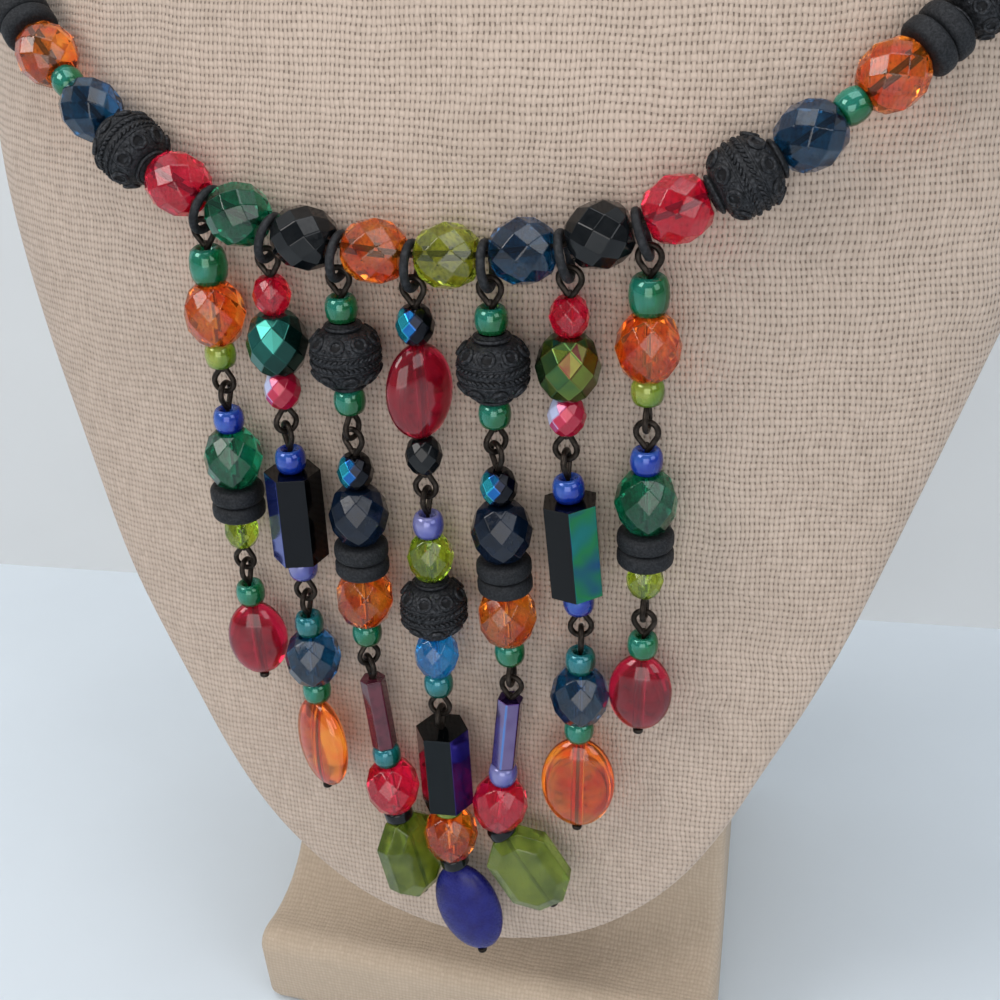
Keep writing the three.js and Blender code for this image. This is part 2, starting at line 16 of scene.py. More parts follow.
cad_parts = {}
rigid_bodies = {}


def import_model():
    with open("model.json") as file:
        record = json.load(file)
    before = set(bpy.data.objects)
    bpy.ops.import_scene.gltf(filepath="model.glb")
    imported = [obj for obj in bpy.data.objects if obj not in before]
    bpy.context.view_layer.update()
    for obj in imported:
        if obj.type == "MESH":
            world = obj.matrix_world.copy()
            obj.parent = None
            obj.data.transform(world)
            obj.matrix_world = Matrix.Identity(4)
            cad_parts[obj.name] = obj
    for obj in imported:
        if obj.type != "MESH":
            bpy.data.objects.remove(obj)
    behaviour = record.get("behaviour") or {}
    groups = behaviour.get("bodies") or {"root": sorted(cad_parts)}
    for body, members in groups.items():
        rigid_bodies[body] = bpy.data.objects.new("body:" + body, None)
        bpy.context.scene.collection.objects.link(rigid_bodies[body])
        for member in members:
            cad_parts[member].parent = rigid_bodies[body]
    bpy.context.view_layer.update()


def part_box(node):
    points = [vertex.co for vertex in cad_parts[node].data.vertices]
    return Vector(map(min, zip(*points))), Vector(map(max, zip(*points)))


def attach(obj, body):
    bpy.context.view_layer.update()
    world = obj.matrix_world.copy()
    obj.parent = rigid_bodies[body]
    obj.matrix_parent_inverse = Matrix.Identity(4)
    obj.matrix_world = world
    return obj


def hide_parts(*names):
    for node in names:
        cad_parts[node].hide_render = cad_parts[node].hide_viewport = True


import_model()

MM = 0.001

# %% [markdown]
# ## The camera
# The photograph looks down on the chest from the right and a little above. The lens and the place
# were worked out from where the same beads appear on the left and on the right, so the model and
# the picture can be laid over each other.

# %% Place the camera
CAMERA_PLACE = Vector((57.81, -197.76, 192.75)) * MM
CAMERA_YAW = math.radians(17.64)
CAMERA_PITCH = math.radians(27.89)
CAMERA_ROLL = math.radians(2.21)
CAMERA_LENS = 51.47


def camera_axes(yaw, pitch, roll):
    """The directions that the picture's right side and top point to, and the way that it looks."""
    level_right = Vector((math.cos(yaw), math.sin(yaw), 0))
    ahead = Vector((-math.sin(yaw), math.cos(yaw), 0))
    looks = ahead * math.cos(pitch) - Vector((0, 0, math.sin(pitch)))
    drop = -ahead * math.sin(pitch) - Vector((0, 0, math.cos(pitch)))
    right = level_right * math.cos(roll) + drop * math.sin(roll)
    top = level_right * math.sin(roll) - drop * math.cos(roll)
    return right, top, looks


right, top, looks = camera_axes(CAMERA_YAW, CAMERA_PITCH, CAMERA_ROLL)
bpy.ops.object.camera_add(location=CAMERA_PLACE)
camera = bpy.context.active_object
camera.name = "photo_camera"
camera.rotation_euler = Matrix((right, top, -looks)).transposed().to_euler()
camera.data.lens = CAMERA_LENS
camera.data.sensor_width = 36
camera.data.clip_start = 0.01
bpy.context.scene.camera = camera
print("camera at", [round(v, 3) for v in camera.location])

# %% [markdown]
# ## A few handy moves
# Every operator works on what is selected, so each helper first lets go of everything. `pick`
# selects corners, edges or faces by where they are, as a hand would by clicking on them.


# %% Helpers for selecting and shaping
def only(*objects):
    """Selects just these objects, and makes the first of them active."""
    if bpy.context.mode != "OBJECT":
        bpy.ops.object.mode_set(mode="OBJECT")
    bpy.ops.object.select_all(action="DESELECT")
    for thing in objects:
        thing.select_set(True)
    if objects:
        bpy.context.view_layer.objects.active = objects[0]


def start_edit():
    bpy.ops.object.mode_set(mode="EDIT")


def edit(obj):
    only(obj)
    start_edit()


def take_all():
    bpy.ops.mesh.select_all(action="SELECT")


def turn_outwards():
    """Makes every face of the edited mesh look out."""
    take_all()
    bpy.ops.mesh.normals_make_consistent(inside=False)


def smooth(angle=None):
    """Smooth shading. With an angle, only across edges that are flatter than it."""
    if angle is None:
        bpy.ops.object.shade_smooth()
    else:
        bpy.ops.object.shade_smooth_by_angle(angle=math.radians(angle))


def done(name):
    """Leaves edit mode and names the piece."""
    bpy.ops.object.mode_set(mode="OBJECT")
    piece = bpy.context.active_object
    piece.name = name
    return piece


def pick(kind, test):
    """Selects the active mesh's corners, edges or faces that pass the test."""
    mesh = bmesh.from_edit_mesh(bpy.context.active_object.data)
    bpy.ops.mesh.select_mode(type=kind)
    bpy.ops.mesh.select_all(action="DESELECT")
    chosen = 0
    for part in {"VERT": mesh.verts, "EDGE": mesh.edges, "FACE": mesh.faces}[kind]:
        if test(part):
            part.select_set(True)
            chosen += 1
    mesh.select_flush_mode()
    bmesh.update_edit_mesh(bpy.context.active_object.data)
    return chosen


def add_ring(first, sides, radius, at, turn=0.0):
    """Adds a circle of corners to the mesh in edit mode. The first one starts a new mesh."""
    bpy.ops.mesh.primitive_circle_add(vertices=sides, radius=radius, location=at, rotation=(0, 0, turn))
    if first:
        bpy.ops.object.transform_apply(location=True, rotation=True, scale=True)
        start_edit()


def joined(parts):
    """One piece made of the parts, with its own place worked into its corners."""
    only(*parts)
    if len(parts) > 1:
        bpy.ops.object.join()
    bpy.ops.object.transform_apply(location=True, rotation=True, scale=True)
    return bpy.context.active_object


def torus(major, minor, around, across, at=(0, 0, 0), facing=(0, 0, 0)):
    """A smooth torus, with its radii in metres."""
    only()
    bpy.ops.mesh.primitive_torus_add(
        major_radius=major, minor_radius=minor, major_segments=around, minor_segments=across,
        location=at, rotation=facing)
    smooth()
    return bpy.context.active_object


def middle(part):
    """The middle of an edge or face."""
    return sum((corner.co for corner in part.verts), Vector()) / len(part.verts)


def apply_modifier(obj, kind, **settings):
    only(obj)
    modifier = obj.modifiers.new(kind.title(), kind)
    for key, value in settings.items():
        setattr(modifier, key, value)
    bpy.ops.object.modifier_apply(modifier=modifier.name)


def soften_edges(obj, width, segments=2, angle=30, flat_faces=False):
    """Rounds the edges. With `flat_faces`, the shading of the faces between them stays flat."""
    if flat_faces:
        only(obj)
        smooth()
    apply_modifier(
        obj, "BEVEL", width=width, segments=segments, limit_method="ANGLE",
        angle_limit=math.radians(angle), use_clamp_overlap=True, harden_normals=flat_faces,
    )


# %% [markdown]
# ## Sizes
# The beads' sizes are the ones that the solids have, in millimetres. A glass bead of this kind is
# usually sold by its width, and 8 mm is the common one.

# %% Sizes of the beads and the wire
WIRE = 0.9
EYE_RADIUS = 1.4
PIN_NECK = 0.3
JUMP_RADIUS = 2.65
JUMP_WIRE = 1.1
LINK_GAP = 0.3
RING_PLAY = 0.3
LOOP_RADIUS, LOOP_WIRE = 1.36, 0.76  # the shown eyes are a little finer than the solid ones
BORE = 0.62
GLASS_BORE = 0.48
THREAD = 0.55
BEAD_SIZES = {  # length along the wire, width, and thickness where it is flat
    "glass": (7.9, 8.0, None),
    "strung": (7.4, 8.0, None),
    "small": (6.3, 6.2, None),
    "tiny": (4.8, 4.9, None),
    "seed": (3.3, 4.1, None),
    "big_seed": (4.8, 4.9, None),
    "disc": (2.4, 7.2, None),
    "spacer": (2.0, 4.2, None),
    "ornate": (8.9, 9.0, None),
    "tube": (12.9, 7.5, None),
    "bugle": (11.5, 3.7, None),
    "drop_oval": (11.8, 8.4, 4.8),
    "red_oval": (12.6, 9.0, 4.8),
    "long_oval": (15.0, 10.2, 4.8),
    "last_oval": (16.0, 10.0, 4.8),
    "cushion": (13.0, 9.8, 4.8),
    "plain": (10.6, 7.2, None),
    "head": (0.7, 1.4, None),
}


def sizes_of(kind):
    """A bead's length, width and thickness in metres."""
    return [size and size * MM for size in BEAD_SIZES[kind]]



# %% [markdown]
# ## Finishes
# Glass is a clear shader with a strong colour, so light that comes through two walls leaves a deep
# tint. Nodes add what a real bead has: faint streaks in the melt and a trace of wear. A small
# builder keeps each recipe short. Numbers that stay the same all over a piece are typed straight
# into the shader's own sockets.


# %% A small node builder
class Recipe:
    """A material under construction: its nodes are added by name and wired in one line each."""

    def __init__(self, name):
        self.material = bpy.data.materials.new(name)
        self.material.use_nodes = True
        self.tree = self.material.node_tree
        self.shader = self.tree.nodes["Principled BSDF"]
        self.place = self.add("ShaderNodeTexCoord").outputs["Object"]

    def add(self, kind, **settings):
        node = self.tree.nodes.new(kind)
        for key, value in settings.items():
            setattr(node, key, value)
        return node

    def feed(self, socket, value):
        """Gives a socket a number or colour, or joins another node's output to it."""
        if isinstance(value, bpy.types.NodeSocket):
            self.tree.links.new(value, socket)
        else:
            socket.default_value = value

    def math(self, operation, first, second=0.0, clamp=False):
        node = self.add("ShaderNodeMath", operation=operation, use_clamp=clamp)
        self.feed(node.inputs[0], first)
        self.feed(node.inputs[1], second)
        return node.outputs[0]

    def times(self, first, second, clamp=False):
        return self.math("MULTIPLY", first, second, clamp)

    def line(self, value, slope, start, clamp=False):
        """slope x value + start"""
        node = self.add("ShaderNodeMath", operation="MULTIPLY_ADD", use_clamp=clamp)
        for socket, part in zip(node.inputs, (value, slope, start)):
            self.feed(socket, part)
        return node.outputs[0]

    def vector(self, operation, first, second=None):
        node = self.add("ShaderNodeVectorMath", operation=operation)
        self.feed(node.inputs[0], first)
        if second is not None:
            self.feed(node.inputs[1], second)
        return node.outputs["Value" if operation == "DOT_PRODUCT" else "Vector"]

    def noise_over(self, place, scale, detail, output="Fac"):
        node = self.add("ShaderNodeTexNoise")
        self.feed(node.inputs["Vector"], place)
        node.inputs["Scale"].default_value = scale
        node.inputs["Detail"].default_value = detail
        return node.outputs[output]

    def noise(self, size_mm, detail=2.0, rough=0.5):
        """Noise over the piece, with spots of about this size."""
        fac = self.noise_over(self.place, 1000 / size_mm, detail)
        fac.node.inputs["Roughness"].default_value = rough
        return fac

    def ramp(self, value, stops):
        """A colour ramp: stops are (place, colour)."""
        node = self.add("ShaderNodeValToRGB")
        elements = node.color_ramp.elements
        while len(elements) < len(stops):
            elements.new(1.0)
        for element, (at, colour) in zip(elements, stops):
            element.position = at
            element.color = (*colour, 1.0)
        self.feed(node.inputs["Fac"], value)
        return node.outputs["Color"]

    def mix(self, share, first, second):
        node = self.add("ShaderNodeMix", data_type="RGBA")
        self.feed(node.inputs[0], share)
        self.feed(node.inputs[6], first)
        self.feed(node.inputs[7], second)
        return node.outputs[2]

    def bump(self, height, distance_mm):
        node = self.add("ShaderNodeBump")
        node.inputs["Strength"].default_value = 1.0
        node.inputs["Distance"].default_value = distance_mm * MM
        self.feed(node.inputs["Height"], height)
        self.feed(self.shader.inputs["Normal"], node.outputs["Normal"])

    def set(self, **values):
        for key, value in values.items():
            self.feed(self.shader.inputs[key.replace("_", " ")], value)
        return self


# %% Glass
def glass(name, colour, deep, clearness=0.93, rough=0.035):
    """Coloured glass: `deep` is the colour of the darker streaks in the melt."""
    recipe = Recipe(name)
    streaks = recipe.noise(3.4, detail=2.0)
    tint = recipe.ramp(streaks, [(0.38, deep), (0.60, colour)])
    wear = recipe.noise(0.6, detail=2.0)
    dull = recipe.ramp(wear, [(0.4, (rough,) * 3), (0.75, (rough * 2.5,) * 3)])
    recipe.set(Base_Color=tint, Roughness=dull, IOR=1.5, Transmission_Weight=clearness)
    return recipe.material


def cast_glass(name, colour, deep, rough=0.07, coat=0.1, shine=0.4):
    """Dark or opaque glass, that shows its colour at the surface under a hard shine."""
    recipe = Recipe(name)
    tint = recipe.ramp(recipe.noise(1.8), [(0.35, deep), (0.65, colour)])
    scuffs = recipe.noise(0.4, detail=3.0)
    dull = recipe.ramp(scuffs, [(0.45, (rough,) * 3), (0.8, (rough * 3,) * 3)])
    recipe.set(Base_Color=tint, Roughness=dull, IOR=1.52, Specular_IOR_Level=shine, Coat_Weight=coat)
    return recipe.material


FINISH = {
    "orange": glass("orange_glass", (1.0, 0.32, 0.03), (1.0, 0.10, 0.012)),
    "emerald": glass("emerald_glass", (0.012, 0.30, 0.15), (0.004, 0.18, 0.08)),
    "olive": glass("olive_glass", (0.30, 0.40, 0.045), (0.13, 0.20, 0.015), clearness=0.75, rough=0.08),
    "string_olive": glass("string_olive_glass", (0.56, 0.62, 0.06), (0.36, 0.44, 0.03)),
    "lime": glass("lime_glass", (0.56, 0.76, 0.06), (0.38, 0.58, 0.03)),
    "navy": glass("navy_glass", (0.012, 0.115, 0.27), (0.004, 0.045, 0.13)),
    "red": glass("red_glass", (0.95, 0.02, 0.08), (0.80, 0.008, 0.04), clearness=0.85),
    "dark_red": glass("dark_red_glass", (0.66, 0.02, 0.06), (0.42, 0.008, 0.03), clearness=0.85),
    "azure": glass("azure_glass", (0.02, 0.36, 0.82), (0.008, 0.22, 0.62), clearness=0.8),
    "jet": cast_glass("jet_glass", (0.006, 0.007, 0.008), (0.002, 0.003, 0.004), coat=0.0, shine=0.28),
    "ink": cast_glass("ink_glass", (0.004, 0.010, 0.024), (0.002, 0.005, 0.012), coat=0.0, shine=0.32),
    "cobalt": cast_glass("cobalt_glass", (0.012, 0.014, 0.15), (0.007, 0.006, 0.10), rough=0.24,
                         coat=0.0, shine=0.25),
    "purple": cast_glass("purple_glass", (0.11, 0.018, 0.032), (0.06, 0.010, 0.020), coat=0.3),
}


# %% [markdown]
# ## A rainbow coat
# Some beads carry a thin metal coat that turns green, blue or violet from facet to facet. On the
# real bead the film's thickness makes the colour. Here the way that a facet faces picks it, with a
# little drift over the surface, so the colours stay on the bead from wherever it is looked at. For the
# seed beads and the petrol, night, blush and frost coats the chosen side is a lit one, so the bright
# colours on the facets turned to it are a painted highlight, and the dark ones turned away are painted
# shade.


# %% Rainbow coats
def rainbow(name, stops, towards, metal=0.85, rough=0.16, drift=0.5, luck=0.0, pivot=0.0, sharp=0.5,
            drift_mm=2.2, clear=0.0):
    """Picks a colour by how far a facet looks `towards` a side. With `luck`, each facet differs."""
    recipe = Recipe(name)
    side = "True Normal" if luck or sharp > 1 else "Normal"
    facing = recipe.add("ShaderNodeNewGeometry").outputs[side]
    turn = recipe.vector("DOT_PRODUCT", facing, Vector(towards).normalized())
    place = recipe.line(turn, sharp, 0.5 - drift / 2 - luck / 2 - pivot * sharp)
    total = recipe.line(recipe.noise(drift_mm, detail=1.5), drift, place)
    if luck:
        total = recipe.line(recipe.noise_over(facing, 2.9, 0.0), luck, total)
    recipe.set(Base_Color=recipe.ramp(recipe.math("ADD", total, 0.0, clamp=True), stops))
    recipe.set(Metallic=metal, Roughness=rough, Transmission_Weight=clear, Coat_Weight=0.2,
               Coat_Roughness=0.04)
    return recipe.material


GREEN_STOPS = [(0.25, (0.004, 0.060, 0.015)), (0.52, (0.008, 0.16, 0.045)), (0.74, (0.012, 0.24, 0.09)),
               (0.92, (0.03, 0.36, 0.26))]
TEAL_STOPS = [(0.25, (0.002, 0.050, 0.030)), (0.52, (0.004, 0.14, 0.10)), (0.72, (0.008, 0.22, 0.21)),
              (0.92, (0.03, 0.34, 0.42))]
LIME_STOPS = [(0.20, (0.05, 0.12, 0.006)), (0.48, (0.14, 0.28, 0.012)), (0.70, (0.28, 0.42, 0.02)),
              (0.90, (0.50, 0.58, 0.09))]
BLUE_STOPS = [(0.25, (0.004, 0.012, 0.15)), (0.50, (0.008, 0.03, 0.32)), (0.72, (0.013, 0.06, 0.52)),
              (0.90, (0.05, 0.16, 0.66))]
LILAC_STOPS = [(0.20, (0.04, 0.05, 0.26)), (0.48, (0.09, 0.11, 0.42)), (0.70, (0.16, 0.18, 0.58)),
               (0.90, (0.33, 0.34, 0.70))]
PETROL_STOPS = [(0.15, (0.002, 0.005, 0.005)), (0.38, (0.003, 0.018, 0.015)), (0.56, (0.006, 0.050, 0.040)),
                (0.70, (0.012, 0.12, 0.095)), (0.86, (0.03, 0.22, 0.19))]
IRIS_STOPS = [(0.15, (0.008, 0.005, 0.004)), (0.36, (0.028, 0.013, 0.008)), (0.50, (0.030, 0.034, 0.010)),
              (0.62, (0.04, 0.11, 0.035)), (0.74, (0.13, 0.18, 0.025)), (0.90, (0.09, 0.010, 0.010))]
NIGHT_STOPS = [(0.35, (0.003, 0.004, 0.008)), (0.52, (0.006, 0.016, 0.06)), (0.64, (0.01, 0.12, 0.40)),
               (0.78, (0.02, 0.42, 0.58)), (0.92, (0.05, 0.62, 0.72))]
BLUSH_STOPS = [(0.45, (0.34, 0.006, 0.03)), (0.62, (0.50, 0.015, 0.06)), (0.74, (0.48, 0.16, 0.36)),
               (0.85, (0.55, 0.60, 0.85))]
TUBE_TEAL_STOPS = [(0.42, (0.003, 0.004, 0.005)), (0.52, (0.004, 0.03, 0.15)), (0.62, (0.006, 0.18, 0.20)),
                   (0.74, (0.006, 0.14, 0.125)), (0.84, (0.01, 0.16, 0.05)), (0.95, (0.006, 0.05, 0.15))]
TUBE_BLUE_STOPS = [(0.42, (0.004, 0.005, 0.007)), (0.60, (0.008, 0.02, 0.16)), (0.85, (0.03, 0.06, 0.38))]
TUBE_VIOLET_STOPS = [(0.42, (0.006, 0.009, 0.011)), (0.60, (0.02, 0.012, 0.12)), (0.85, (0.05, 0.03, 0.28))]
FROST_STOPS = [(0.2, (0.03, 0.010, 0.08)), (0.45, (0.05, 0.016, 0.12)), (0.58, (0.12, 0.08, 0.20)),
               (0.70, (0.20, 0.16, 0.31)), (0.84, (0.08, 0.24, 0.62)), (0.96, (0.14, 0.34, 0.74))]
# painted highlight and shade: the seed beads' coat is brightest on the side that looks to the upper left
# front, where the key light is, and darkest on their rims and the side turned away
LIT_SIDE = (-0.35, -0.65, 0.68)

for colour, stops, clear in (("green", GREEN_STOPS, 0.6), ("teal", TEAL_STOPS, 0.6),
                             ("lime", LIME_STOPS, 0.6), ("blue", BLUE_STOPS, 0.5),
                             ("lilac", LILAC_STOPS, 0.5)):
    FINISH[f"{colour}_seed"] = rainbow(f"{colour}_seed_glass", stops, LIT_SIDE, metal=0.1, rough=0.07,
                                       clear=clear)
# painted highlight: the petrol, night and blush coats are brightest on facets that look up and to the left
# front, towards the key light, and the frost coat on the face that looks forwards, towards the low front
# light; the coat colours themselves are the beads' own
FINISH.update({
    "petrol": rainbow("petrol_coat", PETROL_STOPS, (-0.5, -0.4, 0.7), drift=0.15, luck=0.6, sharp=0.35),
    "iris": rainbow("iris_coat", IRIS_STOPS, (0.5, -0.7, 0.3), drift=0.15, luck=0.7, sharp=0.25),
    "night": rainbow("night_coat", NIGHT_STOPS, (-0.62, -0.76, 0.2), drift=0.1, luck=0.35, pivot=0.62,
                     sharp=1.1),
    "blush": rainbow("blush_coat", BLUSH_STOPS, (-0.8, -0.5, 0.4), metal=0.15, rough=0.08, drift=0.1,
                     luck=0.4, pivot=0.45, sharp=0.8),
    "frost": rainbow("frost_coat", FROST_STOPS, (-0.05, -0.99, 0.1), drift=0.15, pivot=0.72, sharp=1.2,
                     rough=0.12),
})
for colour, stops, towards, drift in (("teal", TUBE_TEAL_STOPS, (0.669, -0.743, 0), 0.9),
                                      ("blue", TUBE_BLUE_STOPS, (-0.656, -0.755, 0), 0.3),
                                      ("violet", TUBE_VIOLET_STOPS, (0.914, -0.407, 0), 0.3)):
    FINISH[f"tube_{colour}"] = rainbow(f"tube_{colour}_coat", stops, towards, drift=drift, pivot=0.8,
                                       sharp=1.5, drift_mm=6.0, rough=0.12)


# %% [markdown]
# ## Dark metal, matte discs and wire
# The ornate beads are cast metal, blackened and rubbed, so the raised spots of their grain are a shade
# lighter.
# The discs are dull and grainy. The wire is a brown-black plated one, with a soft shine.


# %% Metal finishes
def dark_metal(name, colour, worn, grain_mm, depth_mm, rough, metallic):
    recipe = Recipe(name)
    grain = recipe.noise(grain_mm, detail=4.0, rough=0.65)
    dull = recipe.ramp(grain, [(0.35, (rough + 0.12,) * 3), (0.7, (rough - 0.08,) * 3)])
    recipe.set(Base_Color=recipe.ramp(grain, [(0.42, colour), (0.72, worn)]), Roughness=dull,
               Metallic=metallic, Specular_IOR_Level=0.3)
    recipe.bump(grain, depth_mm)
    return recipe.material


FINISH.update({
    # the name, the colour low down and on worn spots, grain and its depth in mm, roughness, metal
    "black_metal": dark_metal("black_metal", (0.012, 0.013, 0.015), (0.06, 0.062, 0.068),
                              0.35, 0.06, 0.48, 0.6),
    "matte_disc": dark_metal("matte_disc", (0.006, 0.007, 0.009), (0.024, 0.026, 0.030),
                             0.28, 0.08, 0.6, 0.1),
    # painted shade: a near-black finish for the bottom of the eyelets' hollows
    "recess": dark_metal("painted_recess_shade", (0.003, 0.003, 0.004), (0.006, 0.006, 0.007),
                         0.35, 0.02, 0.7, 0.0),
    "wire": dark_metal("dark_wire", (0.016, 0.012, 0.009), (0.055, 0.043, 0.035),
                       0.9, 0.02, 0.38, 0.75),
    "ring": dark_metal("dull_ring_metal", (0.014, 0.015, 0.017), (0.040, 0.042, 0.046),
                       0.6, 0.03, 0.55, 0.4),
})

# %% [markdown]
# ## Linen
# The cloth is a plain weave. The upright threads stand closer than the level ones, and small gaps show
# between them: the bump sinks them, and their dark colour is painted shade. The weave follows a UV map
# of its own, laid out in millimetres over the surface. Each thread is a ridge that dips where it goes
# under the next one, and where it dips its colour is darkened as painted shade. Each has a thickness
# of its own, because real linen yarn is uneven.


# %% The linen
def linen(name, light, dark, hole, warp_mm=0.635, weft_mm=0.96, cover=0.0, relief=1.0, rim_highlight=None):
    """Plain weave. More `cover` means smaller gaps. `rim_highlight` is a lighter colour painted on the
    shield's rim as a painted highlight.
    """
    recipe = Recipe(name)
    uv = recipe.add("ShaderNodeUVMap", uv_map="cloth").outputs["UV"]
    wobble = recipe.noise_over(uv, 0.11, 2.0, "Color")
    even = recipe.vector("SUBTRACT", wobble, (0.5, 0.5, 0.5))
    drift = recipe.vector("MULTIPLY", even, (1.6, 1.6, 0.0))
    split = recipe.add("ShaderNodeSeparateXYZ")
    recipe.feed(split.inputs[0], recipe.vector("ADD", uv, drift))
    shares, slubs, waves = [], [], []
    places = [recipe.math("DIVIDE", split.outputs[axis], pitch)
              for axis, pitch in (("X", warp_mm), ("Y", weft_mm))]
    for place, other in (places, places[::-1]):
        # the share is 0 in the middle of a thread and 1 at its edge
        middle_off = recipe.math("SUBTRACT", recipe.math("FRACT", place), 0.5)
        shares.append(recipe.times(recipe.math("ABSOLUTE", middle_off), 2.0))
        # each thread has a thickness of its own, that drifts along it
        along = recipe.add("ShaderNodeCombineXYZ")
        recipe.feed(along.inputs["X"], recipe.times(recipe.math("FLOOR", place), 5.37))
        recipe.feed(along.inputs["Y"], recipe.times(other, 0.21))
        slubs.append(recipe.noise_over(along.outputs["Vector"], 1.0, 1.0))
        waves.append(recipe.math("SINE", recipe.times(place, math.pi)))
    gaps = []
    for share, slub, thin in zip(shares, slubs, (0.36, 0.24)):
        edge = recipe.line(slub, 0.62, thin + cover)
        gaps.append(recipe.times(recipe.math("SUBTRACT", share, edge), 4.5, clamp=True))
    gap = recipe.times(gaps[0], gaps[1])
    # painted light: the gaps' painted shade and their sunk bump fade towards the lower left, where the light
    # from that side fills them
    up_and_right = recipe.vector("DOT_PRODUCT", recipe.place, (2.4, 0.0, 3.6))
    gap_shade_kept = recipe.line(up_and_right, 1.0, 0.40, clamp=True)
    gap = recipe.times(gap, gap_shade_kept)
    # one thread lies over the other by turns, like the squares of a chess board
    over = recipe.times(waves[0], waves[1])
    rounds = [recipe.line(recipe.times(share, share), -0.5, 0.5) for share in shares]
    heights = [recipe.line(over, turn, ridge) for turn, ridge in zip((0.4, -0.4), rounds)]
    height = recipe.math("MAXIMUM", heights[0], heights[1])
    warp_on_top = recipe.line(over, 3.0, 0.5, clamp=True)
    thread_tone = recipe.mix(warp_on_top, slubs[1], slubs[0])
    cloud = recipe.noise(14.0, detail=3.0)
    tone = recipe.line(cloud, 0.35, recipe.times(thread_tone, 0.65))
    colour = recipe.ramp(tone, [(0.36, dark), (0.62, light)])
    # painted shade: where a thread dips it is darkened towards a shadow colour, and the gaps take the dark
    # hole colour, which is painted shade too
    lit = recipe.line(height, 0.9, 0.25, clamp=True)
    shadow = tuple(a * 0.6 + b * 0.4 for a, b in zip(dark, hole))
    colour = recipe.mix(gap, recipe.mix(lit, (*shadow, 1.0), colour), (*hole, 1.0))
    relief_here = recipe.line(gap, -0.7, height)
    if rim_highlight:
        # painted highlight: the shield's rim, which looks neither forwards nor back and is low on the body,
        # gets the lighter rim colour, and the weave's relief is flattened there
        faces = recipe.add("ShaderNodeNewGeometry").outputs["Normal"]
        forwards = recipe.vector("DOT_PRODUCT", faces, (0.0, -1.0, 0.0))
        rim = recipe.times(recipe.line(forwards, -7.0, 4.6, clamp=True),
                          recipe.line(forwards, 6.0, 3.0, clamp=True))
        height_above = recipe.vector("DOT_PRODUCT", recipe.place, (0.0, 0.0, 1.0))
        rim = recipe.times(rim, recipe.line(height_above, -60.0, 5.4, clamp=True))
        colour = recipe.mix(rim, colour, (*rim_highlight, 1.0))
        relief_here = recipe.times(relief_here, recipe.line(rim, -0.8, 1.0))
    recipe.set(Base_Color=colour, Roughness=0.92, Specular_IOR_Level=0.2, Sheen_Weight=0.12,
               Sheen_Roughness=0.5)
    recipe.bump(relief_here, 0.17 * relief)
    return recipe.material


FINISH["linen"] = linen("bust_linen", (0.555, 0.445, 0.365), (0.465, 0.37, 0.30), (0.20, 0.15, 0.115),
                        relief=0.8, rim_highlight=(0.57, 0.455, 0.38))
FINISH["base_linen"] = linen("base_linen", (0.50, 0.40, 0.305), (0.445, 0.355, 0.265),
                             (0.28, 0.22, 0.16), warp_mm=0.62, weft_mm=0.70, cover=0.22, relief=0.6)
print(len(FINISH), "finishes")

# %% [markdown]
# ## The cut bead
# A fire-polished bead has a belt of diamond facets, and kite-shaped ones above and below. If rings
# of corners are set at the right heights and every other ring is turned by half a step, a skin
# pulled tight over them falls into just those facets. So: rings first, then a convex hull, then the
# flat neighbours are dissolved into one face.

# %% Model the cut beads
CUT_RINGS = ((0.98, 0.52, 0.0), (0.80, 0.74, 0.5), (0.42, 0.924, 0.0), (0.0, 1.0, 0.5),
             (-0.42, 0.924, 0.0), (-0.80, 0.74, 0.5), (-0.98, 0.52, 0.0))
CUT_SIDES = 8
EDGE_WEAR = 0.03  # how wide the worn edges between facets are, as a share of the bead's width


def drill(obj, length, bore=BORE, flat=0.9):
    """Drills the bead along its length: its two end faces are inset and joined by a tunnel."""
    edit(obj)
    limit = length / 2 * flat
    pick("FACE", lambda face: abs(face.normal.z) > 0.9 and abs(middle(face).z) > limit)
    widest = max(corner.co.xy.length for face in bmesh.from_edit_mesh(obj.data).faces if face.select
                 for corner in face.verts)
    bpy.ops.mesh.inset(thickness=max(widest - bore * MM, 0.00005))
    bpy.ops.mesh.bridge_edge_loops()
    turn_outwards()
    bpy.ops.object.mode_set(mode="OBJECT")


def cut_bead(kind):
    length, width, _ = sizes_of(kind)
    only()
    for number, (height, reach, turn) in enumerate(CUT_RINGS):
        add_ring(number == 0, CUT_SIDES, reach * width / 2, (0, 0, height * length / 2),
                 turn * 2 * math.pi / CUT_SIDES)
    take_all()
    bpy.ops.mesh.convex_hull()
    take_all()
    bpy.ops.mesh.dissolve_limited(angle_limit=math.radians(4))
    bead = done(f"{kind}_master")
    drill(bead, length, bore=GLASS_BORE)
    smooth()
    apply_modifier(bead, "BEVEL", width=EDGE_WEAR * width, segments=2, limit_method="ANGLE",
                   angle_limit=math.radians(12), harden_normals=True)
    return bead


MASTERS = {kind: cut_bead(kind) for kind in ("glass", "strung", "small", "tiny")}
print("cut beads:", {kind: len(bead.data.polygons) for kind, bead in MASTERS.items()})

# %% [markdown]
# ## Seed beads, discs, spacers and pin heads
# A seed bead is a short tube with round edges, which is what a ring stretched along its axis gives.
# The discs are low drums with a well-rounded rim, so that two of them show a groove between them.


# %% Model the small parts
def seed_bead(kind):
    length, width, _ = sizes_of(kind)
    tube = (width / 2 - BORE * MM) / 2
    only()
    bpy.ops.mesh.primitive_torus_add(
        major_radius=width / 2 - tube, minor_radius=tube, major_segments=20, minor_segments=12)
    start_edit()
    take_all()
    bpy.ops.transform.resize(value=(1, 1, length / (2 * tube)))
    bead = done(f"{kind}_master")
    smooth()
    return bead


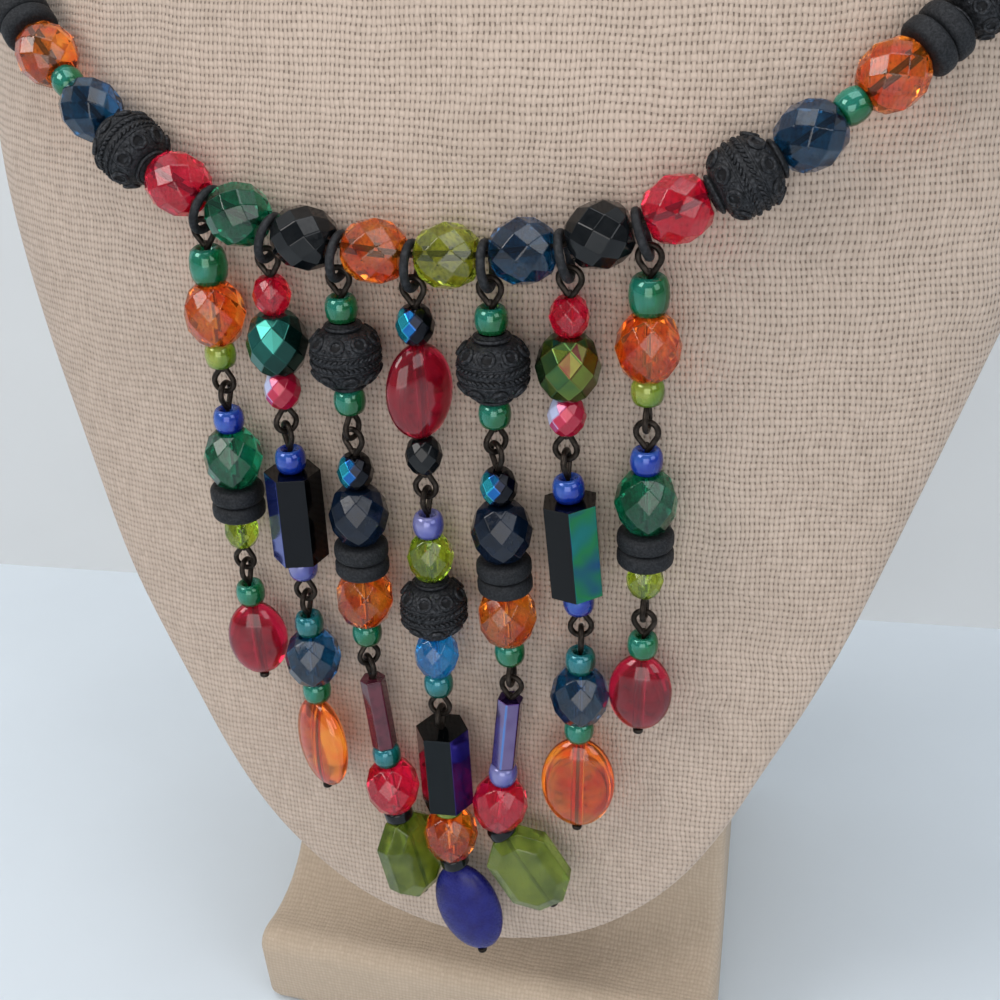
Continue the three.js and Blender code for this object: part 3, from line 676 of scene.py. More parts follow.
def drilled_drum(kind, sides, bore=BORE):
    length, width, _ = sizes_of(kind)
    only()
    bpy.ops.mesh.primitive_cylinder_add(vertices=sides, radius=width / 2, depth=length)
    piece = bpy.context.active_object
    piece.name = f"{kind}_master"
    drill(piece, length, bore)
    return piece


def low_drum(kind, sides, round_mm):
    """A low drum with a bore and a round rim."""
    piece = drilled_drum(kind, sides, bore=0.2 if kind == "head" else BORE)
    soften_edges(piece, round_mm * MM, segments=4, angle=50)
    smooth(35)
    return piece


MASTERS["seed"] = seed_bead("seed")
MASTERS["big_seed"] = seed_bead("big_seed")
for kind, sides, round_mm in (("disc", 32, 0.78), ("spacer", 20, 0.5), ("head", 14, 0.2)):
    MASTERS[kind] = low_drum(kind, sides, round_mm)

# %% [markdown]
# ## Tubes and bugles
# The big black tube is six-sided with softened edges. A bugle is the same shape drawn thin.

# %% Model the tubes
for kind, round_mm in (("tube", 0.5), ("bugle", 0.26)):
    MASTERS[kind] = drilled_drum(kind, sides=6)
    soften_edges(MASTERS[kind], round_mm * MM, segments=3, angle=40, flat_faces=True)

# %% [markdown]
# ## Flat ovals and cushions
# The oval is a pressed-glass lentil: a ball flattened to a lens, drilled from end to end. The
# cushion starts as a block. Its corners are cut off and its two broad faces are drawn in, which
# leaves the sloping edges that pressed glass has.


# %% Model the flat beads
def ball_without_poles(segments, rings, size, pole):
    """A ball drawn out to a size. Its corners higher or lower than `pole` are taken away."""
    only()
    bpy.ops.mesh.primitive_uv_sphere_add(segments=segments, ring_count=rings, radius=0.5)
    start_edit()
    take_all()
    bpy.ops.transform.resize(value=size)
    pick("VERT", lambda corner: abs(corner.co.z) > pole)
    bpy.ops.mesh.dissolve_verts()


def oval(kind):
    length, width, thick = sizes_of(kind)
    ball_without_poles(32, 20, (width, thick, length), length / 2 * 0.999)
    pick("FACE", lambda face: abs(middle(face).z) > length / 2 * 0.985 and len(face.verts) > 8)
    bpy.ops.mesh.bridge_edge_loops()
    turn_outwards()
    piece = done(f"{kind}_master")
    smooth(50)
    return piece


CORNER_CUT, SLOPE_WIDTH, CUSHION_ROUND = 2.9, 1.7, 0.55  # millimetres
RIM_SHARE = 0.5  # how thick the cushion is at its rim, as a share of its middle


def cushion_bead():
    length, width, thick = sizes_of("cushion")
    only()
    bpy.ops.mesh.primitive_cube_add(size=1)
    start_edit()
    take_all()
    bpy.ops.transform.resize(value=(width, thick, length))
    pick("EDGE", lambda edge: all(abs(corner.co.z) > length * 0.49 and abs(corner.co.x) > width * 0.49
                                  for corner in edge.verts)
         and abs(edge.verts[0].co.y - edge.verts[1].co.y) > thick * 0.9)
    bpy.ops.mesh.bevel(offset=CORNER_CUT * MM, segments=1, affect="EDGES")
    for side in (-1, 1):
        pick("FACE", lambda face, side=side: face.normal.y * side > 0.9)
        bpy.ops.mesh.inset(thickness=SLOPE_WIDTH * MM)
    pick("VERT", lambda corner: abs(corner.co.x) > width * 0.36 or abs(corner.co.z) > length * 0.41)
    bpy.ops.transform.resize(value=(1, RIM_SHARE, 1), center_override=(0, 0, 0))
    piece = done("cushion_master")
    drill(piece, length, bore=0.5)
    soften_edges(piece, CUSHION_ROUND * MM, segments=3, angle=14, flat_faces=True)
    return piece


for kind in ("drop_oval", "red_oval", "long_oval", "last_oval"):
    MASTERS[kind] = oval(kind)
MASTERS["cushion"] = cushion_bead()
print("flat beads:", {kind: len(MASTERS[kind].data.polygons) for kind in ("long_oval", "cushion")})

# %% [markdown]
# ## The ornate metal bead
# A cast barrel with a collar at each end, two twisted borders round its waist and a row of eyelets
# above and below them, with grains between. Each eyelet's hollow holds a near-black disc of painted
# shade. The barrel is turned from rings. One slanted strand, one eyelet and one grain are modelled,
# and copies of them go round.


# %% Model the ornate bead
BARREL_RINGS = ((0.5, 0.36), (0.47, 0.46), (0.40, 0.46), (0.385, 0.60), (0.30, 0.80), (0.20, 0.915),
                (0.13, 0.94), (0.0, 0.935), (-0.13, 0.94), (-0.20, 0.915), (-0.30, 0.80),
                (-0.385, 0.60), (-0.40, 0.46), (-0.47, 0.46), (-0.5, 0.36))
STRANDS = 40
RING_DOTS = 8
ROPE_HEIGHT, RIDGE_HEIGHT, EYELET_HEIGHT = 0.062, 0.135, 0.268  # shares of the length
EYELET_OUT = 0.412  # how far out the eyelets sit, as a share of the width
EYELET_LEAN = math.radians(40)
ROW_TURN = 0.2  # radians between the upper row of eyelets and the lower one


def copies_round(part, count, keep, start=0.0):
    """Copies a part round the bead's axis, each copy with its own mesh."""
    for number in range(count):
        twin = part.copy()
        twin.data = part.data.copy()
        turn = Matrix.Rotation(start + number * 2 * math.pi / count, 4, "Z")
        twin.matrix_world = turn @ part.matrix_world
        bpy.context.collection.objects.link(twin)
        keep.append(twin)
    bpy.data.objects.remove(part)


def grain_ball(at, radius_mm, parts, count, start):
    """A row of cast grains round the bead."""
    only()
    bpy.ops.mesh.primitive_ico_sphere_add(subdivisions=1, radius=radius_mm * MM, location=at)
    smooth()
    copies_round(bpy.context.active_object, count, parts, start=start)


def ornate_bead():
    length, width, _ = sizes_of("ornate")
    only()
    for number, (height, reach) in enumerate(BARREL_RINGS):
        add_ring(number == 0, 32, reach * width / 2, (0, 0, height * length))
    take_all()
    bpy.ops.mesh.bridge_edge_loops()
    pick("VERT", lambda corner: abs(corner.co.z) > length * 0.499)
    bpy.ops.mesh.select_mode(type="EDGE")
    bpy.ops.mesh.bridge_edge_loops()
    turn_outwards()
    barrel = done("ornate_master")
    barrel.data.materials.append(FINISH["black_metal"])
    barrel.data.materials.append(FINISH["recess"])
    smooth(40)
    parts = [barrel]
    for row, tilt in ((ROPE_HEIGHT, 1.0), (-ROPE_HEIGHT, -1.0)):
        only()
        bpy.ops.mesh.primitive_uv_sphere_add(
            segments=8, ring_count=6, radius=0.5, location=(0, -width * 0.473, row * length),
            rotation=(0, tilt, 0), scale=(0.44 * MM, 0.56 * MM, 1.0 * MM))
        smooth()
        copies_round(bpy.context.active_object, STRANDS, parts)
    for height in (RIDGE_HEIGHT, -RIDGE_HEIGHT):
        parts.append(torus(width * 0.466, 0.16 * MM, 36, 6, (0, 0, height * length)))
    for side in (-1, 1):
        turn = ROW_TURN * side
        facing = (math.pi / 2 - side * EYELET_LEAN, 0, 0)
        at = (0, -width * EYELET_OUT, side * length * EYELET_HEIGHT)
        copies_round(torus(0.84 * MM, 0.29 * MM, 16, 8, at, facing), RING_DOTS, parts, start=turn)
        # painted shade: a dark disc with the near-black finish sits at the bottom of each eyelet
        only()
        bpy.ops.mesh.primitive_cylinder_add(
            vertices=12, radius=0.62 * MM, depth=0.16 * MM, rotation=facing,
            location=(0, -width * (EYELET_OUT - 0.003), side * length * EYELET_HEIGHT))
        hollow = bpy.context.active_object
        hollow.data.materials.append(FINISH["black_metal"])
        hollow.data.materials.append(FINISH["recess"])
        for face in hollow.data.polygons:
            face.material_index = 1
        copies_round(hollow, RING_DOTS, parts, start=turn)
        half_turn = turn + math.pi / RING_DOTS
        grain_ball((0, -width * 0.444, side * length * 0.205), 0.30, parts, RING_DOTS, half_turn)
        grain_ball((0, -width * 0.352, side * length * 0.325), 0.24, parts, RING_DOTS, half_turn)
    for height, reach in ((0.435, 0.485), (-0.435, 0.485)):
        parts.append(torus(reach * width / 2, 0.26 * MM, 26, 6, (0, 0, height * length)))
    for part in parts:
        if not part.data.materials:
            part.data.materials.append(FINISH["black_metal"])
    return joined(parts)


MASTERS["ornate"] = ornate_bead()
print("ornate bead:", len(MASTERS["ornate"].data.polygons), "faces")


# %% Model the plain bead of the hidden stretch
def plain_bead():
    length, width, _ = sizes_of("plain")
    ball_without_poles(20, 12, (width, width, length * 1.04), length / 2 * 0.999)
    piece = done("plain_master")
    drill(piece, length, bore=0.55, flat=0.8)
    smooth(40)
    return piece


MASTERS["plain"] = plain_bead()

# %% [markdown]
# ## Wire eyes and jump rings
# Each length of wire ends in a loop like a drop of water: the wire leaves the bead, widens to a
# circle and comes back until its end meets the stem. A tube that follows a row of points gives the
# loop, because its thickness stays even. The jump ring is a plain closed ring.


# %% Model the eye and the jump ring
def tube_along(points, name, thick_mm):
    """A wire that follows a row of points."""
    curve = bpy.data.curves.new(name, "CURVE")
    curve.dimensions = "3D"
    line = curve.splines.new("POLY")
    line.points.add(len(points) - 1)
    for knot, at in zip(line.points, points):
        knot.co = (*at, 1)
    curve.bevel_depth = thick_mm / 2 * MM
    curve.bevel_resolution = 3
    curve.use_fill_caps = True
    wire = bpy.data.objects.new(name, curve)
    bpy.context.collection.objects.link(wire)
    only(wire)
    bpy.ops.object.convert(target="MESH")
    wire = bpy.context.active_object
    wire.data.materials.append(FINISH["wire"])
    smooth()
    return wire


NECK = WIRE / 2 + PIN_NECK
LOOP_STEPS = 24
STEM_OFF = 0.12  # how far the stem leaves the axis, so that the loop's end fits beside it
END_OFF, END_SHORT = 0.16, 0.35  # where the loop's end meets the stem


def eye():
    """A teardrop: out of the bead's hole, round, and back to the stem. The loop lies in the XZ plane."""
    foot = EYE_RADIUS + NECK + 0.25
    meets = math.acos(LOOP_RADIUS / foot)
    points = [Vector((STEM_OFF, 0, -foot))]
    for step in range(LOOP_STEPS + 1):
        angle = meets + (2 * math.pi - 2 * meets) * step / LOOP_STEPS
        points.append(Vector((math.sin(angle) * LOOP_RADIUS, 0, -math.cos(angle) * LOOP_RADIUS)))
    points.append(Vector((-END_OFF, 0, -foot + END_SHORT)))
    return tube_along([point * MM for point in points], "eye_master", LOOP_WIRE)


def jump_ring():
    piece = torus(JUMP_RADIUS * MM, JUMP_WIRE / 2 * MM, 40, 12)
    piece.name = "jump_master"
    return piece


MASTERS["eye"] = eye()
MASTERS["jump"] = jump_ring()

# %% [markdown]
# ## The string's route
# The string lies on the bust in one closed loop. These stops are the ones that the solids were
# built from. A smooth curve is drawn through them, and a bead is put down at each distance along it.

# %% The route of the string
STRING_STOPS = (  # x, y, z in millimetres, from the middle of the front to the nape
    (0.000, -46.779, 140.221), (13.943, -46.268, 141.392), (23.279, -45.221, 143.733),
    (36.566, -42.208, 149.051), (55.411, -32.570, 162.072), (64.785, -23.236, 171.855),
    (66.755, -10.685, 184.022), (62.633, 5.385, 194.692), (55.613, 24.516, 201.587),
    (41.934, 43.426, 206.780), (22.457, 55.861, 210.032), (0.000, 60.085, 211.246),
)
STEPS_BETWEEN_STOPS = 160
LOOP_MIDDLE = 0.0069  # how far back the middle of the loop is, in metres
LOOK_ALONG = 0.0002  # how far each way the string's direction is taken from, in metres


def drawn_through(stops):
    """A closed curve through the stops, as close points along it."""
    points = []
    count = len(stops)
    for i in range(count):
        a, b, c, d = (stops[(i + k - 1) % count] for k in range(4))
        gap_a, gap_b, gap_c = ((q - p).length ** 0.5 for p, q in ((a, b), (b, c), (c, d)))
        leave = ((b - a) / gap_a - (c - a) / (gap_a + gap_b) + (c - b) / gap_b) * gap_b
        arrive = ((c - b) / gap_b - (d - b) / (gap_b + gap_c) + (d - c) / gap_c) * gap_b
        for step in range(STEPS_BETWEEN_STOPS):
            t = step / STEPS_BETWEEN_STOPS
            points.append(b + leave * t + (3 * (c - b) - 2 * leave - arrive) * t ** 2
                          + (2 * (b - c) + leave + arrive) * t ** 3)
    return points


half_loop = [Vector(stop) * MM for stop in STRING_STOPS]
mirrored = [Vector((-p.x, p.y, p.z)) for p in half_loop[1:-1]]
route = drawn_through(half_loop + mirrored[::-1])
reach = [0.0]
for near, far in zip(route, route[1:] + route[:1]):
    reach.append(reach[-1] + (far - near).length)
STRING_LENGTH = reach[-1]
print("string:", round(STRING_LENGTH / MM, 1), "mm round")


def string_point(distance):
    distance %= STRING_LENGTH
    low, high = 0, len(route)
    while high - low > 1:
        half = (low + high) // 2
        low, high = (half, high) if reach[half] <= distance else (low, half)
    share = (distance - reach[low]) / (reach[low + 1] - reach[low])
    return route[low].lerp(route[(low + 1) % len(route)], share)


def string_frame(distance):
    """Where the string is, which way it runs to the right, and which way is out from the bust."""
    at = string_point(distance)
    along = (string_point(distance + LOOK_ALONG) - string_point(distance - LOOK_ALONG)).normalized()
    out = at - Vector((0, LOOP_MIDDLE, at.z))
    out = (out - along * out.dot(along)).normalized()
    return at, along, out


# %% [markdown]
# ## Threading the beads
# Each bead is a copy of its master, turned so that its own length lies along the wire. All the
# copies on one length of wire are then joined to one piece, because they move as one, and that
# piece stands for the solid of the same length of wire.


# %% Helpers for threading
def standing(at, along, out):
    """The place of a bead: its length goes along the wire and its front looks out."""
    side = along.cross(out).normalized()
    return Matrix.Translation(at) @ Matrix((side, -out, along)).transposed().to_4x4()


def put(kind, place, finish):
    master = MASTERS[kind]
    twin = master.copy()
    twin.data = master.data.copy()
    twin.matrix_world = place
    if kind != "ornate":
        twin.data.materials.clear()
        twin.data.materials.append(FINISH[finish])
    bpy.context.collection.objects.link(twin)
    return twin


def join_as(name, parts, *nodes, slot):
    """Joins the parts to one piece that stands for these solids."""
    piece = joined(parts)
    piece.name = name
    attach(piece, "root")
    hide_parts(*nodes)
    return piece


def shown_box(piece):
    """The lowest and the highest place that a shown piece reaches."""
    corners = [piece.matrix_world @ Vector(corner) for corner in piece.bound_box]
    return [[limit(corner[k] for corner in corners) for k in range(3)] for limit in (min, max)]


# %% [markdown]
# ## The main string
# Read outwards from the middle, the two halves have the same kinds of bead but not the same
# colours. Between the inner beads the wire is bare where a jump ring sits.

# %% Thread the main string
RING_SPACE = JUMP_WIRE + 2 * RING_PLAY
CLASP_LENGTH = 13.0
STRING_WIRE, WIRE_STEPS = 0.75, 90
STRING_BEADS = ("strung", "space", "strung", "space", "strung", "space", "strung", "ornate", "strung",
                "seed", "strung", "disc", "disc", "strung", "disc", "disc")
STRING_COLOURS = {
    "right": ("string_olive", "navy", "jet", "red", "black_metal", "navy", "green_seed", "orange",
              "matte_disc", "matte_disc", "black_metal", "matte_disc", "matte_disc"),
    "left": ("orange", "jet", "emerald", "red", "black_metal", "navy", "green_seed", "orange",
             "matte_disc", "matte_disc", "black_metal", "matte_disc", "matte_disc"),
}
STRING_SPIN = (0.3, 1.1, 0.65, 0.1, 0.9, 0.45, 0.0, 0.75, 0.2, 0.5, 0.35, 0.8, 0.15)


def thread_half(side, sign):
    colours, spins = iter(STRING_COLOURS[side]), iter(STRING_SPIN)
    parts = []
    distance = RING_SPACE / 2
    begin = -RING_SPACE / 2 + LINK_GAP if sign < 0 else RING_SPACE / 2

    def bead(kind, finish, length, spin):
        at, along, out = string_frame(sign * (distance + length / 2) * MM)
        place = standing(at, along, out) @ Matrix.Rotation(spin, 4, "Z")
        width = BEAD_SIZES[kind][1]
        if finish == "black_metal":
            kind = "ornate"
        across, stretch = width / BEAD_SIZES[kind][1], length / BEAD_SIZES[kind][0]
        parts.append(put(kind, place @ Matrix.Diagonal((across, across, stretch, 1)), finish))

    for kind in STRING_BEADS:
        if kind == "space":
            distance += RING_SPACE
            continue
        length = BEAD_SIZES[kind][0]
        bead(kind, next(colours), length, next(spins))
        distance += length
    end = STRING_LENGTH / MM / 2 - CLASP_LENGTH / 2 - LINK_GAP
    count = round((end - distance) / BEAD_SIZES["plain"][0])
    length = (end - distance) / count
    for number in range(count):
        bead("plain", "jet", length, 0.4 * number)
        distance += length
    span = [begin + (end - begin) * k / WIRE_STEPS for k in range(WIRE_STEPS + 1)]
    parts.append(tube_along([string_frame(sign * d * MM)[0] for d in span],
                            f"string_wire_{side}", STRING_WIRE))
    return join_as(f"string_{side}_beads", parts, f"string_{side}", slot="string_beads")


for side, sign in (("left", -1), ("right", 1)):
    half = thread_half(side, sign)
    low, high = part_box(f"string_{side}")
    print(side, "half:", len(half.data.polygons), "faces; solid from", [round(v / MM, 1) for v in low],
          "to", [round(v / MM, 1) for v in high])


# %% [markdown]
# ## The clasp
# It is out of sight at the nape, so it is one plain barrel with a collar at each end.

# %% Model the clasp
CLASP_RADIUS = 3.0
COLLAR_EDGES = (0.34, 0.4)  # shares of the clasp's length, from its middle
END_SHARE, WAIST_SHARE = 0.6, 0.88  # how wide its ends and its waist are, as shares of the collars
at, along, out = string_frame(STRING_LENGTH / 2)
only()
bpy.ops.mesh.primitive_cylinder_add(vertices=28, radius=CLASP_RADIUS * MM, depth=CLASP_LENGTH * MM)
clasp = bpy.context.active_object
edit(clasp)
for height in (-COLLAR_EDGES[1], -COLLAR_EDGES[0], *COLLAR_EDGES):
    take_all()
    bpy.ops.mesh.bisect(plane_co=(0, 0, height * CLASP_LENGTH * MM), plane_no=(0, 0, 1))
pick("VERT", lambda corner: abs(corner.co.z) > 0.45 * CLASP_LENGTH * MM)
bpy.ops.transform.resize(value=(END_SHARE, END_SHARE, 1))
pick("VERT", lambda corner: abs(corner.co.z) < 0.36 * CLASP_LENGTH * MM)
bpy.ops.transform.resize(value=(WAIST_SHARE, WAIST_SHARE, 1))
clasp = done("clasp_barrel")
soften_edges(clasp, 0.0003, segments=2, angle=20)
smooth(35)
clasp.matrix_world = standing(at, along, out)
clasp.data.materials.append(FINISH["wire"])
join_as("clasp_barrel", [clasp], "clasp", slot="dark_wire")

# %% [markdown]
# ## The seven drops
# Drops 1 and 7 have the same beads, and so do 2 and 6, and 3 and 5. Each is three wired lengths
# that hang eye in eye. A length is written as its eyes' turns, its lean, and its beads with their
# finishes, from the top. Where the last bead hangs askew, the spacer above it does too.

# %% The drops' beads
SIDE_TOP = (("big_seed", "green_seed"), ("glass", "orange"), ("seed", "lime_seed"))
SIDE_MIDDLE = (("seed", "blue_seed"), ("glass", "emerald"), ("disc", "matte_disc"), ("disc", "matte_disc"),
               ("tiny", "lime"))
SIDE_BOTTOM = (("seed", "green_seed"), ("drop_oval", "dark_red"))
TUBE_TOP = (("tiny", "red"), ("glass", "petrol"), ("tiny", "blush"))
TUBE_MIDDLE = (("seed", "blue_seed"), ("tube", "tube_blue"), ("seed", "lilac_seed"))
TUBE_BOTTOM = (("seed", "teal_seed"), ("glass", "navy"), ("seed", "green_seed"), ("long_oval", "orange"))
METAL_TOP = (("seed", "green_seed"), ("ornate", "black_metal"), ("seed", "green_seed"))
METAL_MIDDLE = (("tiny", "night"), ("glass", "ink"), ("disc", "matte_disc"), ("disc", "matte_disc"),
                ("glass", "orange"), ("seed", "green_seed"))
METAL_BOTTOM = (("bugle", "purple"), ("seed", "teal_seed"), ("glass", "red"), ("spacer", "jet"),
                ("cushion", "olive"))
TUBE_TOP_RIGHT = (("tiny", "red"), ("glass", "iris"), ("tiny", "blush"))
TUBE_MIDDLE_RIGHT = (("seed", "blue_seed"), ("tube", "tube_teal"), ("seed", "blue_seed"))
METAL_BOTTOM_RIGHT = (("bugle", "frost"), ("seed", "lilac_seed")) + METAL_BOTTOM[2:]
CENTRE_TOP = (("tiny", "night"), ("red_oval", "dark_red"), ("tiny", "jet"))
CENTRE_MIDDLE = (("seed", "lilac_seed"), ("small", "lime"), ("ornate", "black_metal"), ("small", "azure"),
                 ("seed", "teal_seed"))
CENTRE_BOTTOM = (("tube", "tube_violet"), ("spacer", "lime_seed"), ("glass", "orange"), ("spacer", "jet"),
                 ("last_oval", "cobalt"))

DROPS = (  # place, then upper eye, lower eye, lean, turn of flat beads, hang of the last, beads, slot
    (-3, ((0, 0, 0, 0, 0, SIDE_TOP, "orange_glass"), (90, 0, -1, 0, 0, SIDE_MIDDLE, "emerald_glass"),
          (90, None, 2, 20, 0, SIDE_BOTTOM, "dark_red_glass"))),
    (-2, ((0, 45, 0, 0, 0, TUBE_TOP, "petrol_glass"), (-45, 0, 0, 0, 0, TUBE_MIDDLE, "jet_glass"),
          (90, None, 0, -30, 0, TUBE_BOTTOM, "orange_glass"))),
    (-1, ((0, 75, 0, 0, 0, METAL_TOP, "dark_metal"), (-15, 45, -1, 0, 0, METAL_MIDDLE, "navy_glass"),
          (-45, None, 5, 65, 7, METAL_BOTTOM, "olive_glass"))),
    (0, ((0, 0, 0, 48, 0, CENTRE_TOP, "red_glass"), (90, 0, 0, 0, 0, CENTRE_MIDDLE, "blue_glass"),
         (90, None, 1, 0, 11, CENTRE_BOTTOM, "blue_glass"))),
    (1, ((0, 45, 0, 0, 0, METAL_TOP, "dark_metal"), (-45, 90, 1.5, 0, 0, METAL_MIDDLE, "navy_glass"),
         (0, None, -6.5, 10, 38, METAL_BOTTOM_RIGHT, "olive_glass"))),
    (2, ((0, 0, -2, 0, 0, TUBE_TOP_RIGHT, "petrol_glass"), (90, 15, 4, 0, 0, TUBE_MIDDLE_RIGHT, "jet_glass"),
         (-75, None, -1.5, 8, 0, TUBE_BOTTOM, "orange_glass"))),
    (3, ((0, 90, 0, 0, 0, SIDE_TOP, "orange_glass"), (0, 90, 0, 0, 0, SIDE_MIDDLE, "emerald_glass"),
         (0, None, -2, 5, 0, SIDE_BOTTOM, "dark_red_glass"))),
)
FLAT = {kind for kind, size in BEAD_SIZES.items() if size[2]}
EYE_TO_EYE = 2 * EYE_RADIUS - WIRE - LINK_GAP
TUBE_SPIN = {"tube_teal": 12, "tube_blue": -11, "tube_violet": -24}


# %% Hang the drops
def wire_of_beads(upper, lower, turn, askew, beads):
    """One wired length that hangs from its upper eye, and how far down its lower eye is."""
    parts = [put("eye", Matrix.Rotation(math.radians(upper), 4, "Z"), "wire")]
    distance = EYE_RADIUS + NECK
    whole = sum(BEAD_SIZES[kind][0] for kind, _ in beads)
    straight = distance + whole - sum(BEAD_SIZES[kind][0] for kind, _ in beads[-2:])
    end = distance + whole + (NECK if lower is not None else 0)
    bent = math.radians(askew)

    def along(reach_mm):
        """Where the wire is at a distance, and the way that it points there."""
        way = Vector((math.sin(bent), 0, -math.cos(bent))) if reach_mm > straight else Vector((0, 0, -1))
        bend = Vector((0, 0, -min(reach_mm, straight))) * MM
        return bend + way * max(0, reach_mm - straight) * MM, way

    for number, (kind, finish) in enumerate(beads):
        length = BEAD_SIZES[kind][0]
        at, way = along(distance + length / 2)
        spin = math.radians(turn) if kind in FLAT else 0.7 * number
        if kind == "tube":
            spin = math.radians(TUBE_SPIN[finish])
        place = standing(at, -way, Vector((0, -1, 0))) @ Matrix.Rotation(spin, 4, "Z")
        parts.append(put(kind, place, finish))
        distance += length
    points = [along(EYE_RADIUS)[0], along(straight)[0], along(end)[0]]
    parts.append(tube_along(points, "pin", THREAD))
    if lower is None:
        at, way = along(end + BEAD_SIZES["head"][0] / 2)
        parts.append(put("head", standing(at, -way, Vector((0, -1, 0))), "wire"))
        return parts, None
    low_eye = Matrix.Translation((0, 0, -(end + EYE_RADIUS) * MM))
    turned = Matrix.Rotation(math.radians(lower), 4, "Z") @ Matrix.Rotation(math.pi, 4, "X")
    parts.append(put("eye", low_eye @ turned, "wire"))
    return parts, end + EYE_RADIUS


for number, (place, wires) in enumerate(DROPS, 1):
    at, along, out = string_frame(place * (BEAD_SIZES["strung"][0] + RING_SPACE) * MM)
    down = Vector((0, 0, -1))
    descent = (down - along * down.dot(along)).normalized()
    ring_at = at + descent * (JUMP_RADIUS - JUMP_WIRE / 2 - WIRE / 2 - LINK_GAP) * MM
    ring = put("jump", standing(ring_at, along, -descent), "ring")
    join_as(f"drop_{number}_jump_ring", [ring], f"drop_{number}_ring", slot="dark_wire")
    hang = ring_at + descent * JUMP_RADIUS * MM
    hang += down * (EYE_RADIUS - JUMP_WIRE / 2 - WIRE / 2 - LINK_GAP) * MM
    for level, (upper, lower, lean, turn, askew, beads, slot) in zip(("top", "middle", "bottom"), wires):
        parts, length = wire_of_beads(upper, lower, turn, askew, beads)
        piece = joined(parts)
        piece.matrix_world = Matrix.Translation(hang) @ Matrix.Rotation(-math.radians(lean), 4, "Y")
        node = f"drop_{number}_{level}"
        join_as(f"{node}_beads", [piece], node, slot=slot)
        off = max(abs(a - b) for shown, solid in zip(shown_box(piece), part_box(node))
                  for a, b in zip(shown, solid))
        print(node, "differs from its solid by at most", round(off / MM, 2), "mm")
        if length:
            way = Vector((math.sin(math.radians(lean)), 0, -math.cos(math.radians(lean))))
            hang = hang + way * length * MM + down * EYE_TO_EYE * MM

# %% [markdown]
# ## The bust
# The body is a smooth padded form: level sections from the tip of the shield up to the neck. Each
# section is a circle, widened to the body and then drawn forwards on its front half and backwards
# on its back half. Low down, the front is flatter and turns round at its edge, which gives the
# shield its padded lip. The circles are bridged, and a subdivision smooths what is between them.

# %% Sections of the body
SHOULDER_WIDTH = 159.0
BODY_DEPTH = 98.4
BODY_FRONT = -42.37
BODY_FOOT, BODY_TOP = 26.0, 220.0
SECTIONS = (  # height, width, front, side, back, as shares of the body's sizes
    (0.000, 0.038, 0.028, 0.036, 0.070), (0.012, 0.152, 0.021, 0.032, 0.110),
    (0.032, 0.255, 0.019, 0.030, 0.150), (0.067, 0.354, 0.019, 0.032, 0.185),
    (0.102, 0.426, 0.019, 0.036, 0.200), (0.150, 0.492, 0.019, 0.042, 0.204),
    (0.187, 0.533, 0.019, 0.048, 0.204), (0.194, 0.540, 0.019, 0.049, 0.665),
    (0.255, 0.611, 0.019, 0.058, 0.715), (0.307, 0.664, 0.019, 0.068, 0.756),
    (0.359, 0.710, 0.019, 0.092, 0.790), (0.410, 0.753, 0.019, 0.116, 0.827),
    (0.475, 0.808, 0.015, 0.146, 0.858), (0.530, 0.856, 0.007, 0.186, 0.888),
    (0.582, 0.906, 0.000, 0.240, 0.914), (0.635, 0.955, 0.012, 0.315, 0.939),
    (0.697, 1.000, 0.045, 0.410, 0.970), (0.755, 0.957, 0.080, 0.460, 0.985),
    (0.809, 0.849, 0.110, 0.490, 0.995), (0.862, 0.733, 0.136, 0.520, 1.000),
    (0.915, 0.652, 0.160, 0.550, 1.000), (0.963, 0.608, 0.177, 0.572, 0.995),
    (1.000, 0.596, 0.182, 0.585, 0.990),
)


def section_sizes(share, width, front, side, back):
    """Height, half width, the widest place, and how far it reaches forwards and backwards, in metres."""
    height = (BODY_FOOT + share * (BODY_TOP - BODY_FOOT)) * MM
    widest = (BODY_FRONT + side * BODY_DEPTH) * MM
    forward, backward = (side - front) * BODY_DEPTH * MM, (back - side) * BODY_DEPTH * MM
    return height, width * SHOULDER_WIDTH / 2 * MM, widest, forward, backward


# %% Model the body
BODY_CORNERS = 48
LIP_STARTS, LIP_ENDS = 0.10, 0.26


def lip_columns(share):
    """On a low section, how much fuller the front is at each column of corners than a plain oval."""
    power = 2 + 2.5 * min(max((LIP_ENDS - share) / (LIP_ENDS - LIP_STARTS), 0.0), 1.0)
    if power == 2:
        return []
    across = [math.sin(2 * math.pi * k / BODY_CORNERS) for k in range(1, BODY_CORNERS // 4)]
    return [(x, (1 - x ** power) ** (1 / power) / math.sqrt(1 - x * x)) for x in across]


